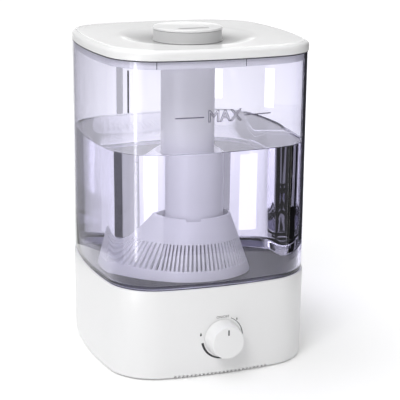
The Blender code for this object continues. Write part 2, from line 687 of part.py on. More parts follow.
def main():
    clear_scene()
    base_housing()
    base_deck()
    bottom_plate()
    base_fasteners()
    transducer()
    float_rocker()
    fan()
    electronics()
    dial()
    tank()
    mist_tube()
    strainer_cone()
    drain_valve()
    lid_cover()
    lid_liner()
    nozzle()


main()
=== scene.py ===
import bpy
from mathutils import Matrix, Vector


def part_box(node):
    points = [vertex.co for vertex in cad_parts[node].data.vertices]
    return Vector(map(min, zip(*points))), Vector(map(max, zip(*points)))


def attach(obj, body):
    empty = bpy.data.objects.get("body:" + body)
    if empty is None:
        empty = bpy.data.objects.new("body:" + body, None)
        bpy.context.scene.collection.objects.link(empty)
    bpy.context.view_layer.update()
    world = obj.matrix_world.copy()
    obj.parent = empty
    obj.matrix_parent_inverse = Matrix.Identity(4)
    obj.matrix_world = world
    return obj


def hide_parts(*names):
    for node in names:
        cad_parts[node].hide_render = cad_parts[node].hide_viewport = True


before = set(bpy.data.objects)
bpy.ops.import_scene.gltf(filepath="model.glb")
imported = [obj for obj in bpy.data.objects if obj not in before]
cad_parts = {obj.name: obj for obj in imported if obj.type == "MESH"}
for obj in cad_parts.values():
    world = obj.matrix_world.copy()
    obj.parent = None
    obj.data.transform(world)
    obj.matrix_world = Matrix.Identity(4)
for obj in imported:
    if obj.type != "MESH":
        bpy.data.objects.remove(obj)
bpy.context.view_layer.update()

import math

import bmesh
import bpy
from mathutils import Matrix, Vector

bl_info = {
    "name": "Cool mist humidifier",
    "version": (1, 0, 0),
    "blender": (4, 5, 0),
    "location": "3D View > Sidebar > Humidifier",
    "description": "Builds the finished surfaces of a cool mist humidifier round its working parts",
    "category": "Object",
}

MM = 0.001

# Places read from the working parts.
LID_LOW, LID_HIGH = map(Vector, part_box("lid_cover"))
TANK_LOW, TANK_HIGH = map(Vector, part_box("tank"))
BASE_LOW, BASE_HIGH = map(Vector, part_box("base_housing"))
LINER_LOW, LINER_HIGH = map(Vector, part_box("lid_liner"))
TUBE_LOW, TUBE_HIGH = map(Vector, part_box("mist_tube"))
CONE_LOW, CONE_HIGH = map(Vector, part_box("strainer_cone"))
DRUM_LOW, DRUM_HIGH = map(Vector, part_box("nozzle_body"))
CAP_LOW, CAP_HIGH = map(Vector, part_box("nozzle_cap"))
KNOB_LOW, KNOB_HIGH = map(Vector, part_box("dial_knob"))
POINTER_LOW, POINTER_HIGH = map(Vector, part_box("dial_pointer"))

AXIS_Y = (LID_LOW.y + LID_HIGH.y) / 2
LID_HALF = (LID_HIGH.x - LID_LOW.x) / 2
TANK_HALF = (TANK_HIGH.x - TANK_LOW.x) / 2
BASE_HALF = (BASE_HIGH.x - BASE_LOW.x) / 2
BASE_HALF_LOW = BASE_HALF - 0.6 * MM
TUBE_R = (TUBE_HIGH.x - TUBE_LOW.x) / 2
CONE_FOOT_R = (CONE_HIGH.x - CONE_LOW.x) / 2
CAP_R = (CAP_HIGH.x - CAP_LOW.x) / 2
KNOB_R = (KNOB_HIGH.x - KNOB_LOW.x) / 2
DIAL_HEIGHT = (KNOB_LOW.z + KNOB_HIGH.z) / 2

# Rounded-square outline: corner arcs joined by shallow side arcs, both as shares of the half width.
CORNER_SHARE = 0.4635
SIDE_SHARE = 3.834
AROUND = 256

TANK_WALL = LID_WALL = 2.5 * MM
TANK_SHOULDER = BASE_HIGH.z + 0.3 * MM
TANK_STEP_HALF = 91.1 * MM
TANK_FLOOR = TUBE_LOW.z - 0.3 * MM
COLLAR_R, COLLAR_BORE_R, COLLAR_TOP = 20.5 * MM, 18.6 * MM, 96 * MM
DRAIN_R = 4.8 * MM
DRAIN_AT = sum(map(Vector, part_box("valve_plunger")), Vector()) / 2

CONE_TOP_R = 31.0 * MM
CONE_WALL = 1.8 * MM
SLOT_LOW, SLOT_HIGH = 86.4 * MM, 109.0 * MM
STRAINER_SLOTS, RIB_WIDTH = 72, 2.05 * MM
STRAINER_SHELF, STRAINER_BEND = 124 * MM, 120 * MM
NOTCH_HALF, NOTCH_DEPTH, NOTCH_TURN = 6.5 * MM, 2.6 * MM, -17.0

BOWL_R, BOWL_FLOOR = 64.0 * MM, DRUM_LOW.z + 2.4 * MM
BOWL_FLOOR_R, NOZZLE_HOLE_R = 43 * MM, 24 * MM
LID_CREASE_HALF = 93.2 * MM
# Painted shade in the lid's dish: radius inside which it is darkest, radius outside which it is gone, and
# the share of the colour left at its darkest.
DISH_SHADE_INNER, DISH_SHADE_OUTER, DISH_SHADE = 30 * MM, 68 * MM, 0.45
SKIRT_LOW, SLIT_PLACES = 275.5 * MM, (-59 * MM, 19 * MM)
MIST_SLOT_LENGTH, MIST_SLOT_WIDTH, MIST_SLOT_Y = 29.4 * MM, 6.5 * MM, -16.0 * MM

MAX_LINE_Z = 234.5 * MM
VENT_COUNT, VENT_PITCH, VENT_WIDTH, VENT_HEIGHT = 24, 3.75 * MM, 2.0 * MM, 2.6 * MM

# Camera: azimuth from the front, elevation, distance, sideways offset, aim height, roll, lens.
CAMERA_AZIMUTH = -20.56
CAMERA_ELEVATION = 15.03
CAMERA_DISTANCE = 1.2282
CAMERA_OFFSET = 0.0127
CAMERA_AIM_Z = 0.1367
CAMERA_ROLL = 0.6
CAMERA_LENS = 118.86

# Floor: how it glows to the eye between two distances. Lights: place, size and power.
GLOW_START, GLOW_END, GLOW_NEAR, GLOW_FAR = 0.15, 0.9, 0.14, 0.60
KEY_PLACE, KEY_SIZE = (-1.0, -1.2, 1.4), (0.8, 0.8)
TOP_PLACE, TOP_SIZE, TOP_POWER = (-0.3, 0.3, 2.0), (1.4, 1.4), 16

# Cards round the object that only glass and gloss show: azimuths from +X in degrees, heights,
# distance and brightness.
SURROUND = (
    ("left_card", (106, 190), (0.0, 0.50), 0.34, 0.36),
    ("front_left_low_card", (190, 262), (0.16, 0.30), 0.40, 0.50),
    ("front_left_card", (190, 225), (0.30, 0.60), 0.40, 0.50),
    ("front_card", (225, 262), (0.30, 0.60), 0.40, 0.85),
    ("front_right_card", (262, 330), (0.0, 0.60), 0.40, 0.30),
    ("right_card", (-30, 30), (0.0, 0.50), 0.34, 0.03),
    ("strip_soft", (204, 226), (0.0, 0.26), 0.39, 2.0),
    ("strip", (212, 217), (0.0, 0.26), 0.38, 7.0),
    ("window_middle", (62.6, 65.5), (0.172, 0.206), 0.33, 2.2),
    ("window_right", (51.7, 53.75), (0.164, 0.209), 0.33, 2.2),
    ("window_water", (69.2, 73.0), (0.03, 0.115), 0.33, 1.7),
    ("window_low", (44.0, 54.5), (0.02, 0.115), 0.33, 1.3),
    ("edge_line", (83.2, 83.6), (0.112, 0.206), 0.32, 0.02),
    ("edge_band", (84.3, 86.0), (0.112, 0.209), 0.33, 0.62),
    ("dark_band", (55.0, 61.0), (0.0, 0.125), 0.33, 0.12),
    ("grey_band", (61.0, 68.0), (0.0, 0.125), 0.33, 0.55),
    ("sheen", (40, 140), (0.235, 0.325), 0.40, 2.2),
)


# ---------------------------------------------------------------- properties


class HumidifierColours(bpy.types.PropertyGroup):
    """Colours of the finishes."""

    white: bpy.props.FloatVectorProperty(
        name="White plastic", description="Colour of the base, lid, tube and strainer",
        subtype="COLOR", size=3, default=(0.86, 0.86, 0.865), min=0, max=1)
    tank: bpy.props.FloatVectorProperty(
        name="Tank tint", description="Colour that the clear tank's walls let through",
        subtype="COLOR", size=3, default=(0.50, 0.47, 0.78), min=0, max=1)
    water: bpy.props.FloatVectorProperty(
        name="Water tint", description="Colour that a depth of water lets through",
        subtype="COLOR", size=3, default=(0.86, 0.84, 0.96), min=0, max=1)
    print_ink: bpy.props.FloatVectorProperty(
        name="Print", description="Colour of the dial's scale and of the fill mark",
        subtype="COLOR", size=3, default=(0.03, 0.03, 0.035), min=0, max=1)


class HumidifierSizes(bpy.types.PropertyGroup):
    """Sizes that change the look and not the working parts."""

    water_level: bpy.props.FloatProperty(
        name="Water level", description="Height of the water above the table",
        subtype="DISTANCE", unit="LENGTH", default=0.202, min=0.09, max=0.26)
    scale_radius: bpy.props.FloatProperty(
        name="Scale radius", description="Radius of the printed scale round the dial",
        subtype="DISTANCE", unit="LENGTH", default=0.0190, min=0.018, max=0.03)
    key_power: bpy.props.FloatProperty(
        name="Key light", description="Power of the large soft light at the front left",
        unit="POWER", default=17.0, min=0, max=200)
    sky_strength: bpy.props.FloatProperty(
        name="Surround", description="Brightness of the studio's pale surround",
        default=0.44, min=0, max=4)


def colours():
    return bpy.context.scene.humidifier_colours


def sizes():
    return bpy.context.scene.humidifier_sizes


# ---------------------------------------------------------------- shapes


def outline_radius(angle, half):
    """Distance from the axis to the rounded square of this half width, in a direction."""
    corner, side = CORNER_SHARE * half, SIDE_SHARE * half
    inset = side - half
    reach = (math.sqrt(4 * inset**2 - 8 * (inset**2 - (side - corner) ** 2)) - 2 * inset) / 4
    turn = math.atan2(reach, reach + inset)
    meeting = math.atan2(side * math.sin(turn), side * math.cos(turn) - inset)
    folded = abs((angle + math.pi / 4) % (math.pi / 2) - math.pi / 4)
    if folded <= meeting:
        return math.sqrt(side**2 - (inset * math.sin(folded)) ** 2) - inset * math.cos(folded)
    centre = reach * math.sqrt(2)
    swing = math.pi / 4 - folded
    return centre * math.cos(swing) + math.sqrt(corner**2 - (centre * math.sin(swing)) ** 2)


def square_ring(half, height, count=AROUND):
    """Points of the rounded square at a height, anticlockwise from above."""
    points = []
    for index in range(count):
        angle = 2 * math.pi * index / count
        radius = outline_radius(angle, half)
        points.append(Vector((radius * math.cos(angle), AXIS_Y + radius * math.sin(angle), height)))
    return points


def round_ring(radius, height, count=AROUND):
    """Points of a circle about the tank's axis at a height."""
    steps = [2 * math.pi * index / count for index in range(count)]
    return [Vector((radius * math.cos(a), AXIS_Y + radius * math.sin(a), height)) for a in steps]


def arc(centre, radius, start, end, steps):
    """Points of an arc in a profile's plane, angles in degrees from the outward direction."""
    angles = [math.radians(start + (end - start) * step / steps) for step in range(steps + 1)]
    return [(centre[0] + radius * math.cos(a), centre[1] + radius * math.sin(a)) for a in angles]


def make_object(name, shape):
    mesh = bpy.data.meshes.new(name)
    shape.to_mesh(mesh)
    shape.free()
    return link_mesh(name, mesh)


def link_mesh(name, mesh):
    piece = bpy.data.objects.new(name, mesh)
    bpy.context.scene.collection.objects.link(piece)
    return piece


def loft(name, rings, closed=True):
    """A body through equal rings, in order down its outer side; closed joins the last to the first."""
    shape = bmesh.new()
    loops = [[shape.verts.new(point) for point in ring] for ring in rings]
    for upper, lower in zip(loops, loops[1:] + (loops[:1] if closed else [])):
        for index in range(len(upper)):
            after = (index + 1) % len(upper)
            shape.faces.new((upper[index], lower[index], lower[after], upper[after]))
    if not closed:
        cap(shape, loops[0], True)
        cap(shape, loops[-1], False)
    return make_object(name, shape)


def cap(shape, loop, upward):
    """Closes a ring with a fan about its middle."""
    middle = sum((vertex.co for vertex in loop), Vector()) / len(loop)
    centre = shape.verts.new(middle)
    for index, vertex in enumerate(loop):
        after = loop[(index + 1) % len(loop)]
        shape.faces.new((vertex, after, centre) if upward else (after, vertex, centre))


def turned(name, profile, place=None, steps=96):
    """A turned body from (radius, height) points down its outer side; radius 0 ends on the axis."""
    shape = bmesh.new()
    loops = []
    for radius, height in profile:
        if radius == 0:
            loops.append([shape.verts.new((0, 0, height))])
            continue
        angles = [2 * math.pi * step / steps for step in range(steps)]
        loops.append([shape.verts.new((radius * math.cos(a), radius * math.sin(a), height)) for a in angles])
    closed = profile[0][0] > 0
    for upper, lower in zip(loops, loops[1:] + (loops[:1] if closed else [])):
        for index in range(steps):
            after = (index + 1) % steps
            corners = [upper[index % len(upper)], lower[index % len(lower)],
                       lower[after % len(lower)], upper[after % len(upper)]]
            shape.faces.new(list(dict.fromkeys(corners)))
    piece = make_object(name, shape)
    piece.data.transform(place if place is not None else Matrix.Translation((0, AXIS_Y, 0)))
    return piece


def box_mesh(name, low, high):
    shape = bmesh.new()
    middle, size = (Vector(low) + Vector(high)) / 2, Vector(high) - Vector(low)
    bmesh.ops.create_cube(shape, size=1, matrix=Matrix.Translation(middle) @ Matrix.Diagonal((*size, 1)))
    return make_object(name, shape)


def joined(name, parts):
    """One piece from several meshes, whose objects are removed."""
    shape = bmesh.new()
    for part in parts:
        shape.from_mesh(part.data)
        bpy.data.objects.remove(part)
    return make_object(name, shape)


def carve(piece, cutter):
    """Cuts a mesh from a piece for good and removes the cutter."""
    boolean = piece.modifiers.new("cut", "BOOLEAN")
    boolean.operation = "DIFFERENCE"
    boolean.object = cutter
    bake_modifiers(piece)
    bpy.data.objects.remove(cutter)


def bake_modifiers(piece):
    graph = bpy.context.evaluated_depsgraph_get()
    mesh = bpy.data.meshes.new_from_object(piece.evaluated_get(graph))
    piece.modifiers.clear()
    piece.data = mesh


def smooth(piece, angle=30):
    piece.data.shade_smooth()
    piece.data.set_sharp_from_angle(angle=math.radians(angle))


def face_depth(x, half):
    """How far the front face lies before the axis at a place across it."""
    side = SIDE_SHARE * half
    return math.sqrt(side**2 - x**2) - (side - half)


def base_half_at(height):
    share = (height - BASE_LOW.z) / (BASE_HIGH.z - BASE_LOW.z)
    return BASE_HALF_LOW + (BASE_HALF - BASE_HALF_LOW) * share


def lay_on_front(piece, half_at, lift):
    """Wraps a piece drawn in the XZ plane, its depth along Y, onto the front face."""
    for vertex in piece.data.vertices:
        x, depth, z = vertex.co
        vertex.co = (x, AXIS_Y - face_depth(x, half_at(z)) - lift + depth, z)


def lettering(name, text, size, middle, thickness, outlined=0.0):
    """Raised letters in the XZ plane about a middle point; outlined gives their strokes' radius."""
    curve = bpy.data.curves.new(name, "FONT")
    curve.body = text
    curve.size = size
    curve.align_x = "CENTER"
    curve.align_y = "CENTER"
    curve.resolution_u = 4
    if outlined:
        curve.fill_mode = "NONE"
        curve.bevel_depth = outlined
        curve.bevel_resolution = 1
    else:
        curve.extrude = thickness / 2
    source = link_mesh(name + "_source", curve)
    graph = bpy.context.evaluated_depsgraph_get()
    mesh = bpy.data.meshes.new_from_object(source.evaluated_get(graph))
    bpy.data.objects.remove(source)
    piece = link_mesh(name, mesh)
    stand = Matrix.Translation((middle[0], 0, middle[1])) @ Matrix.Rotation(math.pi / 2, 4, "X")
    mesh.transform(stand)
    shape = bmesh.new()
    shape.from_mesh(mesh)
    bmesh.ops.remove_doubles(shape, verts=shape.verts, dist=1e-6)
    bmesh.ops.recalc_face_normals(shape, faces=shape.faces)
    shape.to_mesh(mesh)
    shape.free()
    return piece


def stroke(name, points, widths, thickness):
    """A flat line in the XZ plane with a width at each point, as a thin raised strip."""
    shape = bmesh.new()
    sections = []
    for index, (x, z) in enumerate(points):
        before = Vector(points[max(index - 1, 0)])
        after = Vector(points[min(index + 1, len(points) - 1)])
        along = (after - before).normalized()
        across = Vector((-along.y, along.x)) * widths[index] / 2
        corners = []
        for sign, depth in ((1, -thickness), (-1, -thickness), (-1, 0), (1, 0)):
            corners.append(shape.verts.new((x + sign * across.x, depth, z + sign * across.y)))
        sections.append(corners)
    for first, second in zip(sections, sections[1:]):
        for index in range(4):
            after = (index + 1) % 4
            shape.faces.new((first[index], first[after], second[after], second[index]))
    shape.faces.new(sections[0][::-1])
    shape.faces.new(sections[-1])
    bmesh.ops.recalc_face_normals(shape, faces=shape.faces)
    return make_object(name, shape)


# ---------------------------------------------------------------- geometry nodes


def add_node(tree, kind, fed=None, **settings):
    """A node with these settings, its inputs fed from other nodes' sockets or set to plain values."""
    node = tree.nodes.new(kind)
    for label, value in settings.items():
        setattr(node, label, value)
    for label, source in (fed or {}).items():
        if isinstance(source, bpy.types.NodeSocket):
            tree.links.new(source, node.inputs[label])
        else:
            node.inputs[label].default_value = source
    return node


def geometry_tree(name, inputs):
    """An empty Geometry Nodes tree with named inputs, and its input node."""
    tree = bpy.data.node_groups.new(name, "GeometryNodeTree")
    for label, kind, default in inputs:
        socket = tree.interface.new_socket(label, in_out="INPUT", socket_type=kind)
        if default is not None:
            socket.default_value = default
    tree.interface.new_socket("Geometry", in_out="OUTPUT", socket_type="NodeSocketGeometry")
    return tree, tree.nodes.new("NodeGroupInput")


def close_tree(tree, given, geometry):
    """Ends a tree in Realize Instances and Set Material."""
    realize = add_node(tree, "GeometryNodeRealizeInstances", {"Geometry": geometry})
    paint = add_node(tree, "GeometryNodeSetMaterial", {
        "Geometry": realize.outputs["Geometry"], "Material": given.outputs["Material"]})
    add_node(tree, "NodeGroupOutput", {"Geometry": paint.outputs["Geometry"]})


def grow(name, tree, values):
    """A plain mesh piece from a tree with these input values."""
    piece = link_mesh(name, bpy.data.meshes.new(name))
    modifier = piece.modifiers.new("grow", "NODES")
    modifier.node_group = tree
    for item in tree.interface.items_tree:
        if item.item_type == "SOCKET" and item.in_out == "INPUT" and item.name in values:
            modifier[item.identifier] = values[item.name]
    bake_modifiers(piece)
    return piece


def ring_of_boxes_tree():
    """Equal boxes leaning on a cone, spaced evenly round an upright axis."""
    tree, given = geometry_tree("ring_of_boxes", [
        ("Count", "NodeSocketInt", 12), ("Radius", "NodeSocketFloat", 0.05),
        ("Height", "NodeSocketFloat", 0.1), ("Lean", "NodeSocketFloat", 0.0),
        ("Box", "NodeSocketVector", (0.01, 0.01, 0.01)), ("Axis", "NodeSocketVector", (0, 0, 0)),
        ("Material", "NodeSocketMaterial", None)])
    wanted = given.outputs
    cube = add_node(tree, "GeometryNodeMeshCube", {"Size": wanted["Box"]})
    lean = add_node(tree, "ShaderNodeCombineXYZ", {"Y": wanted["Lean"]})
    place = add_node(tree, "ShaderNodeCombineXYZ", {"X": wanted["Radius"], "Z": wanted["Height"]})
    move = add_node(tree, "GeometryNodeTransform", {
        "Geometry": cube.outputs["Mesh"], "Rotation": lean.outputs["Vector"],
        "Translation": place.outputs["Vector"]})
    points = add_node(tree, "GeometryNodeMeshLine", {
        "Count": wanted["Count"], "Start Location": wanted["Axis"], "Offset": (0, 0, 0)}, mode="OFFSET")
    index = add_node(tree, "GeometryNodeInputIndex")
    step = add_node(tree, "ShaderNodeMath", {0: 2 * math.pi, 1: wanted["Count"]}, operation="DIVIDE")
    angle = add_node(tree, "ShaderNodeMath", {
        0: index.outputs["Index"], 1: step.outputs["Value"]}, operation="MULTIPLY")
    spin = add_node(tree, "ShaderNodeCombineXYZ", {"Z": angle.outputs["Value"]})
    copies = add_node(tree, "GeometryNodeInstanceOnPoints", {
        "Points": points.outputs["Mesh"], "Instance": move.outputs["Geometry"],
        "Rotation": spin.outputs["Vector"]})
    close_tree(tree, given, copies.outputs["Instances"])
    return tree


def row_of_boxes_tree():
    """Equal boxes in a straight row."""
    tree, given = geometry_tree("row_of_boxes", [
        ("Count", "NodeSocketInt", 12), ("Start", "NodeSocketVector", (0, 0, 0)),
        ("Step", "NodeSocketVector", (0.01, 0, 0)), ("Box", "NodeSocketVector", (0.01, 0.01, 0.01)),
        ("Material", "NodeSocketMaterial", None)])
    wanted = given.outputs
    cube = add_node(tree, "GeometryNodeMeshCube", {"Size": wanted["Box"]})
    points = add_node(tree, "GeometryNodeMeshLine", {
        "Count": wanted["Count"], "Start Location": wanted["Start"], "Offset": wanted["Step"]},
        mode="OFFSET")
    copies = add_node(tree, "GeometryNodeInstanceOnPoints", {
        "Points": points.outputs["Mesh"], "Instance": cube.outputs["Mesh"]})
    close_tree(tree, given, copies.outputs["Instances"])
    return tree


# ---------------------------------------------------------------- materials


def shader_group(name, inputs, outputs):
    tree = bpy.data.node_groups.new(name, "ShaderNodeTree")
    for label, kind, default in inputs:
        socket = tree.interface.new_socket(label, in_out="INPUT", socket_type=kind)
        socket.default_value = default
    for label, kind in outputs:
        tree.interface.new_socket(label, in_out="OUTPUT", socket_type=kind)
    return tree, tree.nodes.new("NodeGroupInput"), tree.nodes.new("NodeGroupOutput")


def moulded_surface():
    """Colour, roughness and fine height of a moulded surface: cloudy tone, uneven gloss and grain."""
    name = "moulded_surface"
    if name in bpy.data.node_groups:
        return bpy.data.node_groups[name]
    tree, given, out = shader_group(
        name,
        [("Colour", "NodeSocketColor", (0.8, 0.8, 0.8, 1)), ("Tone", "NodeSocketFloat", 0.02),
         ("Tone Scale", "NodeSocketFloat", 20.0), ("Gloss", "NodeSocketFloat", 0.3),
         ("Gloss Spread", "NodeSocketFloat", 0.05), ("Grain Scale", "NodeSocketFloat", 2500.0)],
        [("Colour", "NodeSocketColor"), ("Roughness", "NodeSocketFloat"), ("Height", "NodeSocketFloat")])
    where = add_node(tree, "ShaderNodeTexCoord").outputs["Object"]
    wanted = given.outputs
    cloud = add_node(tree, "ShaderNodeTexNoise", {
        "Vector": where, "Scale": wanted["Tone Scale"], "Detail": 3})
    centred = add_node(tree, "ShaderNodeMath", {0: cloud.outputs["Fac"], 1: 0.5}, operation="SUBTRACT")
    swing = add_node(tree, "ShaderNodeMath", {
        0: centred.outputs["Value"], 1: wanted["Tone"], 2: 1.0}, operation="MULTIPLY_ADD")
    shade = add_node(tree, "ShaderNodeVectorMath", {
        0: wanted["Colour"], "Scale": swing.outputs["Value"]}, operation="SCALE")
    gloss = add_node(tree, "ShaderNodeMath", {
        0: centred.outputs["Value"], 1: wanted["Gloss Spread"], 2: wanted["Gloss"]},
        operation="MULTIPLY_ADD")
    grain = add_node(tree, "ShaderNodeTexNoise", {
        "Vector": where, "Scale": wanted["Grain Scale"], "Detail": 2})
    tree.links.new(shade.outputs["Vector"], out.inputs["Colour"])
    tree.links.new(gloss.outputs["Value"], out.inputs["Roughness"])
    tree.links.new(grain.outputs["Fac"], out.inputs["Height"])
    return tree


def new_material(name):
    """A material, its node tree and its Principled shader."""
    made = bpy.data.materials.new(name)
    made.use_nodes = True
    return made, made.node_tree, made.node_tree.nodes["Principled BSDF"]


def solid_material(name, colour, gloss, tone=0.02, spread=0.06, grain=2500.0, bump=0.02, metallic=0.0,
                   coat=0.0, tone_scale=20.0):
    """A material whose colour, gloss and grain come from the moulded surface group."""
    made, tree, shader = new_material(name)
    surface = add_node(tree, "ShaderNodeGroup", {
        "Colour": (*colour, 1), "Tone": tone, "Tone Scale": tone_scale, "Gloss": gloss,
        "Gloss Spread": spread, "Grain Scale": grain}, node_tree=moulded_surface())
    raised = add_node(tree, "ShaderNodeBump", {
        "Strength": bump, "Distance": 0.5 * MM, "Height": surface.outputs["Height"]})
    tree.links.new(surface.outputs["Colour"], shader.inputs["Base Color"])
    tree.links.new(surface.outputs["Roughness"], shader.inputs["Roughness"])
    tree.links.new(raised.outputs["Normal"], shader.inputs["Normal"])
    shader.inputs["Metallic"].default_value = metallic
    shader.inputs["Coat Weight"].default_value = coat
    shader.inputs["Coat Roughness"].default_value = 0.08
    return made


def shaded_dish():
    """Painted shade: a colour that keeps its strength at the dish's rim and falls to a share of it at the
    nozzle's foot.
    """
    name = "shaded_dish"
    if name in bpy.data.node_groups:
        return bpy.data.node_groups[name]
    tree, given, out = shader_group(
        name,
        [("Colour", "NodeSocketColor", (0.8, 0.8, 0.8, 1)), ("Axis", "NodeSocketVector", (0, 0, 0)),
         ("Inner", "NodeSocketFloat", 0.03), ("Outer", "NodeSocketFloat", 0.06),
         ("Floor", "NodeSocketFloat", 0.7)],
        [("Colour", "NodeSocketColor")])
    wanted = given.outputs
    where = add_node(tree, "ShaderNodeTexCoord")
    offset = add_node(tree, "ShaderNodeVectorMath", {
        0: where.outputs["Object"], 1: wanted["Axis"]}, operation="SUBTRACT")
    flat = add_node(tree, "ShaderNodeVectorMath", {
        0: offset.outputs["Vector"], 1: (1, 1, 0)}, operation="MULTIPLY")
    away = add_node(tree, "ShaderNodeVectorMath", {0: flat.outputs["Vector"]}, operation="LENGTH")
    fall = add_node(tree, "ShaderNodeMapRange", {
        "Value": away.outputs["Value"], "From Min": wanted["Inner"], "From Max": wanted["Outer"],
        "To Min": wanted["Floor"], "To Max": 1.0}, interpolation_type="SMOOTHSTEP")
    shade = add_node(tree, "ShaderNodeVectorMath", {
        0: wanted["Colour"], "Scale": fall.outputs["Result"]}, operation="SCALE")
    tree.links.new(shade.outputs["Vector"], out.inputs["Colour"])
    return tree


def lid_material(colour):
    """White plastic with painted shade that darkens it softly down in the dish round the nozzle."""
    made = solid_material("lid_white", colour, 0.25, coat=0.2)
    tree = made.node_tree
    base = tree.nodes["Principled BSDF"].inputs["Base Color"]
    surface = base.links[0].from_socket
    dish = add_node(tree, "ShaderNodeGroup", {
        "Colour": surface, "Axis": (0, AXIS_Y, 0), "Inner": DISH_SHADE_INNER,
        "Outer": DISH_SHADE_OUTER, "Floor": DISH_SHADE}, node_tree=shaded_dish())
    tree.links.new(dish.outputs["Colour"], base)
    return made


def clear_material(name, tint, density, ior, waviness, wave_scale):
    """Clear matter that tints light by the depth it crosses, and lets lamps reach what is behind it."""
    made, tree, shader = new_material(name)
    shader.inputs["Base Color"].default_value = (1, 1, 1, 1)
    shader.inputs["Transmission Weight"].default_value = 1.0
    shader.inputs["IOR"].default_value = ior
    shader.inputs["Roughness"].default_value = 0.0
    where = add_node(tree, "ShaderNodeTexCoord")
    wave = add_node(tree, "ShaderNodeTexNoise", {
        "Vector": where.outputs["Object"], "Scale": wave_scale, "Detail": 1})
    raised = add_node(tree, "ShaderNodeBump", {
        "Strength": waviness, "Distance": 1 * MM, "Height": wave.outputs["Fac"]})
    tree.links.new(raised.outputs["Normal"], shader.inputs["Normal"])
    through = add_node(tree, "ShaderNodeBsdfTransparent")
    path = add_node(tree, "ShaderNodeLightPath")
    surface = shader.outputs["BSDF"]
    for passing in ("Is Shadow Ray", "Is Diffuse Ray"):
        mix = add_node(tree, "ShaderNodeMixShader", {
            "Fac": path.outputs[passing], 1: surface, 2: through.outputs["BSDF"]})
        surface = mix.outputs["Shader"]
    absorb = add_node(tree, "ShaderNodeVolumeAbsorption", {"Color": (*tint, 1), "Density": density})
    out = tree.nodes["Material Output"]
    tree.links.new(surface, out.inputs["Surface"])
    tree.links.new(absorb.outputs["Volume"], out.inputs["Volume"])
    return made


FINISH = {}


def finish(name):
    """The finish of this name, made once."""
    if name in FINISH:
        return FINISH[name]
    paint = colours()
    makers = {
        "white_plastic": lambda: solid_material("white_plastic", paint.white, 0.30, coat=0.15),
        # The nozzle's drum: the white plastic painted darker, as painted shade for the shade on its round
        # side.
        "nozzle_shaded_white": lambda: solid_material("nozzle_shaded_white", (0.60, 0.60, 0.605), 0.30, coat=0.1),
        # Painted shade: near black, for the ring laid on the tank's floor.
        "floor_shade": lambda: solid_material("floor_shade", (0.02, 0.02, 0.025), 0.5, bump=0.0),
        # Painted shade: near black, for the lines, strokes and plate that stand in for shade at the tank's
        # top edge and foot, in the skirt's slits and under the nozzle's slot.
        "painted_shade_black": lambda: solid_material("painted_shade_black", (0.02, 0.02, 0.025), 0.5, bump=0.0),
        # Inner parts: a brighter copy of the white plastic, painted light that makes up for the light the
        # clear tank takes from what is seen through it.
        "inner_lit_white": lambda: solid_material("inner_lit_white", (0.96, 0.96, 0.96), 0.42, tone=0.02),
        "lid_white": lambda: lid_material(paint.white),
        "clear_tank": lambda: clear_material("clear_tank", paint.tank, 85.0, 1.49, 0.004, 9.0),
        "water": lambda: clear_material("water", paint.water, 4.0, 1.333, 0.0, 30.0),
        "print_ink": lambda: solid_material("print_ink", paint.print_ink, 0.45, bump=0.0),
        "fill_mark": lambda: solid_material("fill_mark", (0.14, 0.13, 0.18), 0.4, bump=0.0),
        "silicone": lambda: solid_material("silicone", (0.80, 0.80, 0.80), 0.62, grain=1200.0, bump=0.05),
        "foot_rubber": lambda: solid_material("foot_rubber", (0.05, 0.05, 0.05), 0.8, 0.2, bump=0.2),
        "steel": lambda: solid_material("steel", (0.60, 0.60, 0.62), 0.28, 0.06, 0.15, metallic=1.0),
        "aluminium": lambda: solid_material("aluminium", (0.75, 0.75, 0.77), 0.38, 0.05, 0.1, metallic=1.0),
        "black_plastic": lambda: solid_material("black_plastic", (0.03, 0.03, 0.03), 0.45, 0.2, bump=0.1),
        "circuit_board": lambda: solid_material("circuit_board", (0.03, 0.20, 0.09), 0.4, 0.3, bump=0.05,
                                                tone_scale=180.0),
        "piezo_ceramic": lambda: solid_material("piezo_ceramic", (0.78, 0.74, 0.64), 0.3, 0.08),
        "copper": lambda: solid_material("copper", (0.70, 0.36, 0.20), 0.35, 0.15, 0.1, metallic=1.0,
                                         tone_scale=400.0),
    }
    FINISH[name] = makers[name]()
    return FINISH[name]


def settle(piece, material, body, stands_for=(), angle=30):
    """Finishes a piece: its material, smooth shading, the body it rides on and what it stands for."""
    piece.data.materials.clear()
    piece.data.materials.append(finish(material))
    if angle:
        smooth(piece, angle)
    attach(piece, body)
    if stands_for:
        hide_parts(*stands_for)
    return piece


# ---------------------------------------------------------------- pieces of the base


